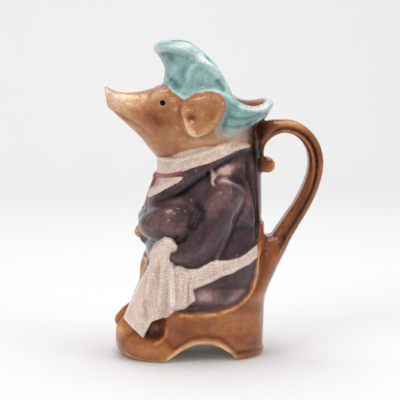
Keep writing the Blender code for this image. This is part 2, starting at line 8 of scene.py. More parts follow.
import math
from functools import partial

import bmesh
import bpy
import numpy as np
from mathutils import Matrix, Vector
from mathutils.bvhtree import BVHTree


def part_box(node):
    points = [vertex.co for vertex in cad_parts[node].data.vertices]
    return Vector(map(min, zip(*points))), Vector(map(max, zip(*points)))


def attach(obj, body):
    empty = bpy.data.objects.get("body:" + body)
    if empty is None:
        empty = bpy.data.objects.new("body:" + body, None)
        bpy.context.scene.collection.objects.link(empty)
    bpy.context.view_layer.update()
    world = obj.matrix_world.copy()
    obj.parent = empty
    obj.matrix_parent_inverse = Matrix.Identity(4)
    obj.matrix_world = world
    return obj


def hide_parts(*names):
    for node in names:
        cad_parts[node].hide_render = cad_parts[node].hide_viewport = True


HEIGHT = 0.240  # from the feet of the stool to the peak of the cap
WALL = 0.0045  # thickness of the body's wall, all round the cavity
CAP_WALL = 0.0040  # thickness of the wall round the mouth
CAVITY_FLOOR = 0.0060  # clay between the top of the arch and the cavity
ARCH_SPAN = 0.055  # length of the arch under the stool, along X
ARCH_RISE = 0.0150  # height of the arch
RIM_BEAD = 0.0026  # radius of the rolled rim round the mouth
HANDLE_WIDTH = 0.0170  # width of the handle's band, across the pitcher
COLLAR_RELIEF = 0.0024  # how far the collar stands out from the neck
JACKET_RELIEF = 0.0013
LAPEL_RELIEF = 0.0028
APRON_RELIEF = 0.0028
CAP_RELIEF = 0.0013
CHAIR_RELIEF = 0.0020

CARVING = HEIGHT / 240.0
VOXEL = HEIGHT / 160.0  # grid of the fused clay
RING_POINTS = 56
RING_STEPS = 4
BEYOND = 120.0  # how far a cutter reaches past the figure
OVER_CAP = 280.0  # a height above all of the figure
MIDDLE = 0.96  # how far the figure is moved along X, to stand over the middle of its length

# Each section of a form that stands upright: height, front, widest point, back, half width, squareness.
TORSO = [
    (15, -38, -12, 26, 31, 2.2),
    (22, -41, -12, 29, 35, 2.2),
    (32, -44, -12, 31, 38.5, 2.2),
    (42, -47, -11, 32.5, 42, 2.2),
    (54, -49, -10, 33.5, 44.5, 2.2),
    (66, -50.5, -10, 34.5, 45.5, 2.2),
    (80, -52, -10, 35, 44.5, 2.2),
    (95, -53, -10, 35, 42.5, 2.2),
    (108, -52.5, -9, 34.8, 40, 2.2),
    (120, -50, -8, 34.8, 38.5, 2.2),
    (132, -45.5, -6, 34.6, 37.5, 2.1),
    (142, -42.5, -5, 34.4, 36, 2.1),
    (152, -42.2, -4, 33.8, 33.5, 2.1),
    (163, -40.4, -4, 32.6, 32, 2.1),
    (172, -38, -4, 32, 31, 2.1),
]
CAP = [
    (166, -33, 0, 30, 31, 2.1),
    (173, -35, 0, 32.5, 33, 2.1),
    (180, -37, 2, 36.8, 34.5, 2.1),
    (186, -38, 4, 39.6, 35.5, 2.1),
    (191, -39, 5, 41, 35.5, 2.1),
    (196, -39.5, 5, 41.6, 34.5, 2.1),
    (202, -39.5, 4, 41.6, 32.5, 2),
    (208, -38.8, 2, 40.6, 30, 1.95),
    (214, -37.7, 1, 38, 28.5, 1.85),
    (220, -37.8, 0, 34, 27, 1.75),
    (226, -41, -2, 30, 25.5, 1.7),
    (230.5, -43.6, -4, 26, 24.2, 1.75),
    (234, -44.6, -6, 22, 23, 1.8),
    (237, -44, -7, 18, 22, 1.8),
    (240, -43, -8, 16, 21.2, 1.8),
    (243, -42, -9, 15, 20.4, 1.8),
]
SEAT = [
    (0, -49, -27, 35.2, 38.3, 2.1),
    (2.2, -51, -27, 37, 40, 2.1),
    (6.5, -51, -27, 37, 40, 2.1),
    (9, -49.5, -26, 35.8, 39.2, 2.8),
    (20, -49, -25, 36.2, 40.2, 2.9),
    (30, -48.5, -22, 36.6, 42.2, 2.7),
    (37, -48, -19, 36.8, 44.2, 2.4),
    (41, -47.5, -17, 36.8, 45.4, 2.1),
    (43.5, -46, -17, 35.4, 44, 2.1),
]
PLATFORM = [
    (0, -70, -36, 0, 34, 2.1),
    (2.5, -74.5, -36, 2, 37.6, 2.1),
    (7, -76.4, -36, 2, 39.4, 2.1),
    (12.5, -77.2, -36, 2, 39.2, 2.1),
    (17, -76.8, -36, 2, 36.8, 2.1),
    (20.5, -75.5, -36, 2, 32, 2.1),
    (23, -71, -36, 2, 25, 2.1),
    (24, -64, -36, 2, 15, 2.1),
]
CHAIR_BACK = [
    (30, -6, 8, 36, 32, 2),
    (40, -2, 10, 37.4, 36, 2),
    (48, 0, 13, 39, 38, 2),
    (54, 5, 16, 41.4, 34, 2),
    (61, 10, 19, 44.8, 29.5, 2),
    (69, 14, 22, 48.6, 25, 2),
    (77, 18, 26, 52.8, 20, 2.1),
    (84, 22, 31, 56, 15.5, 2.3),
    (88.5, 27, 38, 57.4, 12, 2.4),
    (90.5, 32, 41, 56, 8.5, 2.4),
]
# Each section of the head, which lies along X: place, lower edge, widest point, upper edge, half width,
# squareness, and lean, the share by which the upper edge is shifted along X.
HEAD = [
    (-83.2, 190.4, 197.6, 204.8, 7.8, 2.1, -0.14),
    (-81.8, 188.6, 197, 205.8, 9.5, 2.1, -0.14),
    (-79, 186.4, 195.6, 204, 9.5, 2.1, -0.13),
    (-74, 181.6, 192.4, 201.6, 10.2, 2.1, -0.10),
    (-66, 174.6, 188.4, 200.6, 12.6, 2.1, -0.06),
    (-57.5, 166.4, 185, 201.3, 16.5, 2.1, -0.03),
    (-49, 156, 182, 203.5, 21.5, 2.1, 0),
    (-41, 149, 179, 206, 26.5, 2.1, 0),
    (-31, 147, 177, 208, 31, 2.1, 0),
    (-19, 147, 176, 208, 34, 2.1, 0),
    (-6, 148, 176, 206, 35.5, 2.1, 0),
    (7, 149, 176, 203, 35, 2.1, 0),
    (18, 151, 175, 198, 31.5, 2.1, 0),
    (27, 155, 174, 190, 24, 2.1, 0),
    (32, 161, 172, 183, 13, 2.1, 0),
]

# Outlines in side view, as (x, z).
COLLAR_TOP = [(-60, 151.5), (-45.3, 152), (-38, 152.6), (-28.7, 153.6), (-21.6, 156.4), (-8.4, 160.5),
              (7.6, 166.3), (17.3, 169), (50, 174)]
COLLAR_FOOT = [(-60, 140.5), (-46.4, 141), (-38.4, 142.2), (-28, 145.4), (-19.5, 148.2), (-7.7, 151.4),
               (6.6, 157.4), (14, 160.6), (50, 166)]
JACKET_TOP = [(-60, 118), (-52.7, 124.8), (-44.1, 131.8), (-33.7, 138.4), (-25.3, 144.5), (-19.5, 147.4),
              (-7.7, 150.9), (6.6, 157), (14, 160.2), (20.2, 161.5)]
JACKET_BACK = [(20.5, 156), (20.2, 146), (20.3, 136.7), (23.4, 127.2), (26.2, 114), (27.2, 104), (27.6, 93.7),
               (28, 62)]
JACKET_TAIL = [(13.5, 113), (10.8, 104.4), (17, 105.6), (22.6, 104.9), (27, 104.4), (26.2, 114), (23.4, 127.2),
               (20.3, 136.7), (16, 126)]
LAPEL_FOOT = [(-60, 112), (-52.1, 118.5), (-41, 125), (-29.9, 132), (-24.4, 136.6), (-15, 143.2),
              (-5.5, 149.2), (3, 154.9), (12, 159.6)]
APRON_TOP = [(-30.5, 72), (-16.8, 73.1), (-7.8, 78), (-2.1, 79.6), (5.5, 79.8), (14.5, 82), (26.3, 86.9),
             (45, 95)]
APRON_FOOT = [(-21.5, 58.5), (-9.2, 63.4), (-2.1, 67.1), (2.6, 69), (8.9, 70.3), (14.5, 73.1), (21.5, 75.2),
              (27, 78.3), (45, 86)]
SEAT_EDGE = [(-34, 41.4), (-24, 40.6), (-15.4, 40.2), (-6, 40.8), (2.4, 42), (9, 44.2), (15.1, 47.4),
             (21.4, 54.6), (24.4, 61), (26.8, 68.7), (28.6, 78), (30.4, 88), (31.6, 98)]
CHAIR = SEAT_EDGE + [(32, 102), (60, 102), (60, 12), (-60, 12), (-60, 38)]
ARCH_TRIM = [(-42, 0), (-38.5, 7), (-30.5, 14.4), (-22, 18.6), (-11, 20), (-2, 18.6), (5, 14), (10, 8.6),
             (13.4, 5.4), (13.4, 0)]
RIM = [(-43.8, 235.0), (-39.4, 236.8), (-31, 237.4), (-21.6, 236.0), (-11.8, 229.6), (-2.6, 219.8),
       (4.2, 208.2), (9.0, 198.4), (15.2, 193), (24.7, 190), (32.6, 190.6), (37.6, 192.4), (42, 193.2)]
BRIM_FOOT = [(-60, 231.5), (-46.4, 231), (-34.3, 230.6), (-20.6, 227.4), (-12.5, 222.6), (-4.8, 216.0),
             (1.2, 207.8), (5.6, 199.8), (10.2, 193.4), (17, 188.6), (25.8, 186), (33.9, 186.4), (39.2, 188.4),
             (60, 193)]
CAP_EDGE = [(-60, 211.5), (-41.5, 210.4), (-39.7, 209), (-35.7, 204.8), (-28.5, 199.6), (-25.5, 197.4),
            (-22.8, 199), (-16.4, 202.6), (-6.7, 204.4), (0, 202.6), (4.5, 198.5), (6, 193.8), (4.6, 189.7),
            (2, 184.9), (0.2, 180.9), (-2.2, 176.8), (-4.3, 173.4), (3.9, 170.4), (15.1, 170.9), (22.5, 173.9),
            (28.4, 178.3), (36, 182), (60, 186)]
EAR = [(-28.8, 188.3), (-27.3, 195), (-24.2, 197.8), (-19.9, 200.6), (-14.3, 202.8), (-7.3, 203.6),
       (-2.2, 202.3), (1.3, 199.5), (3.2, 195.2), (2.7, 190.5), (-0.1, 183.4), (-3.4, 178.7), (-8.8, 173.6),
       (-15.9, 171), (-20.6, 171.6), (-24.6, 175.4), (-26.8, 181.8)]
NAPKIN = [(-44, 93.5), (-41.4, 96.4), (-36.3, 95), (-32.6, 90), (-33.3, 84.7), (-36.5, 81.7), (-34.8, 72.7),
          (-32.6, 68.1), (-31.1, 49.9), (-33.4, 42.4), (-37.9, 36.4), (-46.8, 33.5), (-51, 32.6),
          (-54.4, 25.8), (-57.4, 19.4), (-64.1, 25.6), (-71.2, 32), (-66.6, 43), (-61.4, 56), (-57.1, 63.9),
          (-52.8, 72.9), (-51.1, 82.7), (-48.2, 88.5)]
APRON_CORNER = [(-38, 74.5), (-30, 74.5), (-24.1, 72), (-21.6, 58.3), (-19.6, 49.6), (-24.4, 45.8),
                (-27.7, 43.5), (-34, 42), (-38, 44)]
HANDLE = [(34, 60), (40.5, 72), (47, 83.5), (53.2, 93.8), (59.8, 104), (66, 114), (71, 124), (74, 132),
          (75.9, 139.5), (76.4, 148), (74.6, 157), (70.2, 165), (64.2, 170.6), (57.6, 173.8), (50, 174.4),
          (43.2, 172.2), (37.6, 168), (33.8, 162.4), (32.4, 155.4), (32.8, 148.4), (35.0, 143.2),
          (38.6, 142.4)]
WIDER_FOOT = [1.5, 1.35, 1.2, 1.1, 1.04]  # the handle's first widths, as shares of the band's
HANDLE_HALF_DEPTH = [8, 7.6, 7.2, 6.8, 6.4, 6.1, 6, 5.9, 5.8, 5.7, 5.5, 5.3, 5.1, 5.0, 4.9, 4.8, 4.5, 4.1,
                     3.6, 3.4, 3.2, 3.0]
HANDLE_SHOULDER = [(30.6, 160.5), (34.4, 168.8), (40.4, 174.0), (48, 174.8)]  # clay that fills the nape
SHOULDER_HALF_DEPTH = 4.8
SHOULDER_SHARE = 0.86  # of the band's width
SCROLL = (38.8, 145.3)  # middle of the handle's rolled end
SCROLL_RADIUS = 5.8


def smoothed(points, steps):
    """Rows of numbers drawn through the given rows as one even curve, steps rows for each of them."""
    rows = []
    for i in range(len(points) - 1):
        before, start, end = points[max(i - 1, 0)], points[i], points[i + 1]
        after = points[min(i + 2, len(points) - 1)]
        for k in range(steps):
            t = k / steps
            rows.append(tuple(
                0.5 * (2 * b + (c - a) * t + (2 * a - 5 * b + 4 * c - d) * t**2
                       + (3 * b - a - 3 * c + d) * t**3)
                for a, b, c, d in zip(before, start, end, after)
            ))
    rows.append(tuple(float(x) for x in points[-1]))
    return rows


def placed(name, data):
    """A new object in the scene."""
    thing = bpy.data.objects.new(name, data)
    bpy.context.scene.collection.objects.link(thing)
    return thing


def mesh_object(name, points, faces):
    """A closed form from points in carving units."""
    mesh = bpy.data.meshes.new(name)
    mesh.from_pydata([Vector(p) * CARVING for p in points], [], faces)
    shell = bmesh.new()
    shell.from_mesh(mesh)
    bmesh.ops.recalc_face_normals(shell, faces=shell.faces[:])
    shell.to_mesh(mesh)
    shell.free()
    return placed(name, mesh)


def skinned(name, rings):
    """A closed form over rings of points, flat at both ends."""
    count = len(rings[0])
    faces = [tuple(range(count))[::-1], tuple((len(rings) - 1) * count + i for i in range(count))]
    for r in range(len(rings) - 1):
        for i in range(count):
            j = (i + 1) % count
            faces.append((r * count + i, r * count + j, (r + 1) * count + j, (r + 1) * count + i))
    return mesh_object(name, [p for ring in rings for p in ring], faces)


def oval(low, widest, high, half_width, square):
    """Points of an egg-shaped outline as (along, across)."""
    points = []
    for i in range(RING_POINTS):
        angle = 2 * math.pi * i / RING_POINTS
        u = math.copysign(abs(math.cos(angle)) ** (2 / square), math.cos(angle))
        v = math.copysign(abs(math.sin(angle)) ** (2 / square), math.sin(angle))
        reach = high - widest if u > 0 else widest - low
        points.append((widest + reach * u, half_width * v))
    return points


def upright(name, sections, grow=0.0, chimney=0.0):
    """A form standing along Z, grown by some units on every side, with its top carried straight up."""
    rings = []
    for z, front, widest, back, half_width, square in smoothed(sections, RING_STEPS):
        outline = oval(front - grow, widest, back + grow, half_width + grow, square)
        rings.append([(x, y, z) for x, y in outline])
    rings[0] = [(x, y, z - grow) for x, y, z in rings[0]]
    rings = [rings[0]] + [ring for ring in rings[1:] if ring[0][2] > rings[0][0][2]]
    if chimney:
        rings.append([(x, y, z + chimney) for x, y, z in rings[-1]])
    return skinned(name, rings)


def lying(name, sections, grow=0.0):
    """A form lying along X, grown by some units on every side."""
    rings = []
    for x, low, widest, high, half_width, square, lean in smoothed(sections, RING_STEPS):
        outline = oval(low - grow, widest, high + grow, half_width + grow, square)
        rings.append([(x + lean * (z - widest), y, z) for z, y in outline])
    return skinned(name, rings)


def half_width_at(sections, x, z):
    """Half the width of an upright form at a point of its side view."""
    rows = smoothed(sections, RING_STEPS)
    row = min(rows, key=lambda r: abs(r[0] - z))
    _, front, widest, back, half_width, square = row
    reach = back - widest if x > widest else widest - front
    share = min(abs(x - widest) / reach, 1.0)
    return half_width * (1 - share**square) ** (1 / square)


def head_half_width_at(x, z):
    rows = smoothed(HEAD, RING_STEPS)
    row = min(rows, key=lambda r: abs(r[0] - x))
    _, low, widest, high, half_width, square, _ = row
    reach = high - widest if z > widest else widest - low
    share = min(abs(z - widest) / reach, 1.0)
    return half_width * (1 - share**square) ** (1 / square)


def round_section(_, depth, width):
    return [
        (depth * math.cos(2 * math.pi * i / 24), width * math.sin(2 * math.pi * i / 24)) for i in range(24)
    ]


def tube(name, points, depths, widths=None, section=round_section, steps=RING_STEPS):
    """A form swept along a curve, with round ends. Depth is in the plane of the curve, width across it."""
    widths = widths or depths
    rows = smoothed([(*p, d, w) for p, d, w in zip(points, depths, widths)], steps)
    line = [Vector(row[:3]) for row in rows]
    rings = []
    side = None
    for i, row in enumerate(rows):
        along = (line[min(i + 1, len(line) - 1)] - line[max(i - 1, 0)]).normalized()
        if side is None:
            side = Vector((0, 1, 0))
        side = (side - along * side.dot(along)).normalized()
        out = side.cross(along)
        ends = [(-0.85, 0.53), (-0.5, 0.87)] if i == 0 else []
        ends.append((0.0, 1.0))
        if i == len(rows) - 1:
            ends += [(0.5, 0.87), (0.85, 0.53)]
        for shift, share in ends:
            centre = line[i] + along * shift * min(row[3], row[4])
            rings.append([centre + out * a * share + side * b * share
                          for a, b in section(i / (len(rows) - 1), row[3], row[4])])
    return skinned(name, rings)


def ball(name, centre, radii, turn=0.0):
    """An ellipsoid, turned about Y by some degrees."""
    shell = bmesh.new()
    place = Matrix.Translation(Vector(centre) * CARVING) @ Matrix.Rotation(math.radians(turn), 4, "Y")
    place = place @ Matrix.Diagonal((*(r * CARVING for r in radii), 1.0))
    bmesh.ops.create_uvsphere(shell, u_segments=28, v_segments=16, radius=1.0, matrix=place)
    mesh = bpy.data.meshes.new(name)
    shell.to_mesh(mesh)
    shell.free()
    return placed(name, mesh)


def slab(name, outline, low_y, high_y):
    """A side view outline made solid between two depths."""
    count = len(outline)
    points = [(x, y, z) for y in (low_y, high_y) for x, z in outline]
    faces = [tuple(range(count)), tuple(range(2 * count - 1, count - 1, -1))]
    faces += [(i, (i + 1) % count, count + (i + 1) % count, count + i) for i in range(count)]
    return mesh_object(name, points, faces)


def evaluated(form):
    """Replaces a form's mesh with what its modifiers make of it."""
    graph = bpy.context.evaluated_depsgraph_get()
    mesh = bpy.data.meshes.new_from_object(form.evaluated_get(graph))
    form.modifiers.clear()
    form.data = mesh
    return form


def cut(form, tool, operation):
    """Applies a Boolean of one form with another, and uses the other up."""
    boolean = form.modifiers.new(operation.title(), "BOOLEAN")
    boolean.operation = operation
    boolean.object = tool
    evaluated(form)
    bpy.data.objects.remove(tool)
    return form


def relief(name, host, outline, low_y=-BEYOND, high_y=BEYOND):
    """The part of a host form that lies inside an outline in side view."""
    return cut(host, slab(name + "_outline", outline, low_y, high_y), "INTERSECT")


def band(top, foot):
    """The outline between two lines that both run from the front to the back."""
    return top + foot[::-1]


def handle_section(_, depth, width):
    """A band with a shallow groove along its outer face and a ridge along each side."""
    side = [(1.0, 0.0), (1.06, 0.42), (0.98, 0.78), (0.62, 0.97), (0.36, 1.0), (0.14, 0.9), (-0.08, 0.97),
            (-0.42, 0.94), (-0.8, 0.74), (-0.98, 0.4), (-1.0, 0.0)]
    loop = side + [(a, -b) for a, b in side[-2:0:-1]]
    return [(-a * depth, b * width) for a, b in loop]


def ear(name, side):
    """A dished leaf with a raised edge, laid over the head and tucked under the cap's border at its top.

    Side is -1 for the pig's left, 1 for its right.
    """
    outline = smoothed(EAR + [EAR[0]], 3)[:-1]
    centre = Vector((sum(p[0] for p in outline), sum(p[1] for p in outline))) / len(outline)
    # Share of the way from the centre to the edge, and how far the leaf stands out there.
    profile = [(0.0, 2.0), (0.3, 2.3), (0.6, 3.2), (0.82, 4.6), (0.93, 4.6), (1.0, 3.2), (1.0, -6.0)]
    rings = []
    for share, lift in profile[1:]:
        ring = []
        for p in outline:
            x, z = centre.lerp(Vector(p), share)
            lobe = max(0.0, (centre.y - z) / 18.0) * share
            tucked = min(max((z - centre.y) / 14.0, 0.0), 1.0)
            stand = lift * (1 - 0.55 * tucked) + 3.0 * lobe if lift > 0 else lift
            under = max(head_half_width_at(x, z), half_width_at(CAP, x, z))
            ring.append((x, side * (under + stand), z))
        rings.append(ring)
    return skinned(name, rings)


def sheet(name, left, right, foot, top, out_of, inner_y):
    """A slab seen from the side whose near face lies at out_of(x, z)."""
    columns, rows = 40, 48
    near, far = [], []
    for r in range(rows + 1):
        for c in range(columns + 1):
            x = left + (right - left) * c / columns
            z = foot + (top - foot) * r / rows
            near.append((x, out_of(x, z), z))
            far.append((x, inner_y, z))
    wide = columns + 1
    faces = []
    for r in range(rows):
        for c in range(columns):
            i = r * wide + c
            faces.append((i, i + 1, i + wide + 1, i + wide))
            j = i + len(near)
            faces.append((j, j + wide, j + wide + 1, j + 1))
    border = list(range(wide)) + [r * wide + columns for r in range(1, rows + 1)]
    border += [rows * wide + c for c in range(columns - 1, -1, -1)]
    border += [r * wide for r in range(rows - 1, 0, -1)]
    for i, j in zip(border, border[1:] + border[:1]):
        faces.append((j, i, i + len(near), j + len(near)))
    return mesh_object(name, near + far, faces)


def napkin_face(x, z):
    """Where the napkin's near face lies: it falls from the forearm in folds that open towards its foot."""
    fall = min(max((96.0 - z) / 70.0, 0.0), 1.0)
    middle = -38.5 - 9.0 * fall
    half = 8.0 + 19.0 * fall
    across = (x - middle) / half
    fold = 1.3 * min(fall * 3.0, 1.0) * math.cos(across * 3.2 * math.pi + 0.4)
    shoulder = 46.0 - 9.5 * fall - 2.0 * math.exp(-((fall / 0.1) ** 2))
    wrap = max(-across - 0.25, 0.0)
    return -(shoulder + fold - 15.0 * wrap**1.6)


def apron_face(x, z):
    """The apron's corner lies on the thigh behind the napkin."""
    return -(45.4 + 0.9 * math.cos((x + 27.0) * 0.9) - 0.06 * max(60.0 - z, 0.0))


def on_body(line, stand, side):
    """Points of a side view line laid on the torso, standing off it by some units."""
    return [(x, side * (half_width_at(TORSO, x, z) + stand), z) for x, z in line]


def mirrored(points, side):
    return [(x, y * side, z) for x, y, z in points]


def torso_relief(name, depth, outline):
    return relief(name, upright(name + "_host", TORSO, depth / CARVING), outline)


def jacket_forms():
    forms = [
        torso_relief("jacket", JACKET_RELIEF, JACKET_TOP + JACKET_BACK + [(-60, 62)]),
        torso_relief("jacket_tail", 2 * JACKET_RELIEF, JACKET_TAIL),
        torso_relief("lapels", LAPEL_RELIEF, band(JACKET_TOP[:-2], LAPEL_FOOT)),
    ]
    sleeve = [(4, 32.5, 127.5), (-1, 36, 115.5), (-7.6, 37.8, 102.5), (-15.5, 38.3, 91), (-26, 38, 84.5),
              (-35, 36.5, 83)]
    for side in (-1, 1):
        forms += [
            tube("sleeve", mirrored(sleeve, side), [13.6, 12.6, 12.8, 13.0, 10.4, 8.2],
                 [13.6, 12.4, 11.2, 10.8, 10.0, 8.4]),
            tube("sleeve_fold", on_body([(-20.3, 122.8), (-21, 113), (-22.8, 101), (-26, 97)], 1.0, side),
                 [1.6, 2.2, 2.0, 1.4]),
        ]
    forms += [
        tube("left_breast", [(-25, -32.5, 104.5), (-36, -30, 104.5), (-45, -23.5, 103.8), (-49.4, -15, 102)],
             [11.5, 13.2, 12.6, 10.8]),
        tube("right_breast", [(-25, 32.5, 106), (-36, 29, 107), (-44, 21, 107), (-48, 13, 106)],
             [11, 12.2, 11.4, 9.6]),
    ]
    return forms


def leg_forms():
    forms = []
    for side in (-1, 1):
        forms += [
            tube("thigh", mirrored([(-6, 26, 60), (-24, 27, 66), (-40, 21, 70)], side), [17, 16.5, 13.6]),
            ball("hip", (-4, 25 * side, 55), (27, 22.6, 17.5)),
            tube("shin", mirrored([(-43.4, 18, 70), (-48.4, 15, 58), (-52.8, 15, 44), (-57, 16, 30)], side),
                 [12.2, 9.0, 8.0, 9.0]),
            tube("shoe", mirrored([(-46, 17, 26), (-55, 16.5, 29), (-63, 16, 27), (-69.6, 16, 22.4)], side),
                 [8.4, 10.0, 9.4, 7.8]),
            ball("heel", (-49, 23.5 * side, 24.6), (8.4, 10.4, 7.6)),
            tube("hem", mirrored([(-45.8, 16.5, 66), (-47.4, 15.5, 62)], side), [11.2, 10.5], steps=2),
        ]
    return forms


def front_forms():
    """The tie, the small mug and the trotter that holds it."""
    forms = []
    for side in (-1, 1):
        line = on_body([(-45.2, 137.6), (-42, 138.8), (-38.4, 140), (-33, 141.8), (-28, 143.6)], 0.6, side)
        forms.append(tube("tie_ribbon", line, [2.0, 1.8, 1.6, 1.5, 1.6]))
        forms.append(ball("tie_end", line[-1], (2.0, 2.2, 1.8)))
    tail = [(-46.2, 0, 136), (-48.4, 0, 130), (-50.9, 0, 123), (-53.0, 0, 115)]
    return forms + [
        ball("tie_knot", (-45.6, 0, 137.4), (2.6, 3.6, 2.8)),
        tube("tie_tail", tail, [1.5, 1.5, 1.6, 1.7], [2.4, 3.2, 4.0, 4.6]),
        tube("mug", [(-51.2, 1, 91), (-51.8, 1, 98.5), (-52.4, 1, 106)], [7.2, 6.8, 7.0]),
        tube("mug_handle", [(-52, -6, 107.4), (-56.3, -7.5, 107), (-58, -8, 102.4), (-56.8, -7.5, 97.4),
                            (-52, -6, 95.6)], [1.7] * 5),
        tube("right_trotter", [(-50, 12, 96.5), (-55, 5, 96), (-58.0, -1, 94.6)], [6.2, 5.2, 4.4]),
    ]


def head_forms():
    over = [(-BEYOND, OVER_CAP), (BEYOND, OVER_CAP)]
    above_rim = [(-BEYOND, RIM[0][1]), *RIM, (BEYOND, RIM[-1][1])] + over[::-1]
    depth = CAP_RELIEF / CARVING
    cloth = band(CAP_EDGE, over)
    forms = [
        lying("head", HEAD),
        torso_relief("collar", COLLAR_RELIEF, band(COLLAR_TOP, COLLAR_FOOT)),
        relief("cap_border", lying("cap_border_host", HEAD, depth), cloth),
    ]
    cap = [upright("cap", CAP), relief("cap_cloth", upright("cap_host", CAP, depth), cloth),
           relief("brim", upright("brim_host", CAP, 2 * depth), band(BRIM_FOOT, over))]
    for form in cap:
        forms.append(cut(form, slab("above_rim", above_rim, -BEYOND, BEYOND), "DIFFERENCE"))
    lean = CAP_WALL / CARVING * 0.5
    for side in (-1, 1):
        line = [(x, side * max(half_width_at(CAP, x, z) - lean, 0.0), z) for x, z in smoothed(RIM[:-1], 3)]
        line.append((39.8, 0, 193))
        forms.append(tube("rim_bead", line, [RIM_BEAD / CARVING] * len(line), steps=1))
        forms.append(ear("ear", side))
        forms.append(ball("brow", (-40, 14.5 * side, 198), (11, 6.3, 7.5), -20))
    return forms


def stool_forms():
    half_band = HANDLE_WIDTH / CARVING / 2
    widths = [half_band * s for s in WIDER_FOOT + [1.0] * (len(HANDLE) - len(WIDER_FOOT))]
    line = [(x, 0, z) for x, z in HANDLE]
    shoulder = [(x, 0, z) for x, z in HANDLE_SHOULDER]
    scroll = [(SCROLL[0] + x, SCROLL[1] + z) for x, z in round_section(0, SCROLL_RADIUS, SCROLL_RADIUS)]
    forms = [
        upright("seat", SEAT),
        upright("platform", PLATFORM),
        upright("chair_back", CHAIR_BACK),
        torso_relief("chair", CHAIR_RELIEF, CHAIR),
        relief("arch_trim", upright("arch_trim_host", SEAT, 0.9), ARCH_TRIM),
        tube("handle", line, HANDLE_HALF_DEPTH, widths, handle_section),
        tube("handle_shoulder", shoulder, [SHOULDER_HALF_DEPTH] * 4, [half_band * SHOULDER_SHARE] * 4),
        slab("scroll_end", scroll, -half_band, half_band),
    ]
    for side in (-1, 1):
        edge = on_body(SEAT_EDGE, 1.4, side)
        forms.append(tube("seat_edge", edge, [1.5] * len(edge)))
    return forms


def apron_forms():
    napkin = sheet("napkin", -74, -28, 15, 100, napkin_face, -14)
    corner = sheet("apron_corner", -42, -16, 38, 80, apron_face, -14)
    return [
        relief("napkin", napkin, NAPKIN),
        relief("apron_corner", corner, APRON_CORNER),
        torso_relief("apron", APRON_RELIEF, band(APRON_TOP, APRON_FOOT)),
    ]


def cavity():
    """The core that hollows the pitcher, from above the arch through the head to the mouth."""
    wall = WALL / CARVING
    floor = (ARCH_RISE + CAVITY_FLOOR) / CARVING
    body = upright("body_core", [row for row in TORSO if row[0] > floor], -wall)
    low = min(v.co.z for v in body.data.vertices)
    body.data.transform(Matrix.Translation((0, 0, floor * CARVING - low)))
    mouth = upright("mouth_core", CAP[:-4], -CAP_WALL / CARVING, chimney=40.0)
    snout = lying("snout_core", HEAD[3:-2], -wall)
    core = joined("cavity", [body, mouth, snout])
    remesh(core, "Fuse")
    nostrils = [ball("nostril", (-83.6, 3.4 * side, 197.6), (2.4, 1.7, 2.5)) for side in (-1, 1)]
    return joined("cutter", [evaluated(core), joined("nostrils", nostrils)])


def joined(name, forms):
    """One object from several forms, which may still pass through each other."""
    shell = bmesh.new()
    for form in forms:
        shell.from_mesh(form.data)
        bpy.data.objects.remove(form)
    mesh = bpy.data.meshes.new(name)
    shell.to_mesh(mesh)
    shell.free()
    return placed(name, mesh)


def remesh(body, name, grid=VOXEL):
    fuse = body.modifiers.new(name, "REMESH")
    fuse.mode = "VOXEL"
    fuse.voxel_size = grid


def arch():
    """The arch's outline, steeper towards the back foot, as a tunnel through the stool."""
    middle, half, rise = -13.5, ARCH_SPAN / CARVING / 2, ARCH_RISE / CARVING
    outline = []
    for i in range(25):
        u = -1 + 2 * i / 24
        curve = 1.7 if u < 0 else 2.2
        outline.append((middle + half * u, rise * (1 - abs(u) ** curve)))
    outline[0] = (outline[0][0] - 1.5, -1.0)
    outline[-1] = (outline[-1][0] + 1.0, -1.0)
    return slab("arch", outline, -BEYOND, BEYOND)


FINE_GRID = HEIGHT / 240.0  # finer than the solid's grid
MOST_TRIANGLES = 190_000
REACH = 12.0  # how far a point looks for the forms it lies on
MELTING = 30  # rounds of smoothing where the clay runs soft
DOUBLES = 2e-6  # points nearer to each other than this are one

# The forms that carry each glaze.
GLAZES = {
    "skin": ("head", "brow", "ear", "right_trotter", "shin"),
    "cap": ("cap", "cap_cloth", "cap_border", "brim", "rim_bead"),
    "cloth": ("collar", "napkin", "apron_corner", "apron", "hem"),
    "jacket": ("jacket", "jacket_tail", "lapels", "sleeve", "sleeve_fold", "left_breast", "right_breast",
               "thigh", "hip"),
    "wood": ("seat", "platform", "chair_back", "chair", "arch_trim", "handle", "handle_shoulder",
             "scroll_end", "seat_edge", "shoe", "heel"),
    "tie": ("tie_ribbon", "tie_end", "tie_knot", "tie_tail"),
    "mug": ("mug", "mug_handle"),
    "bare": ("arch",),
    "inside": ("cutter",),
}
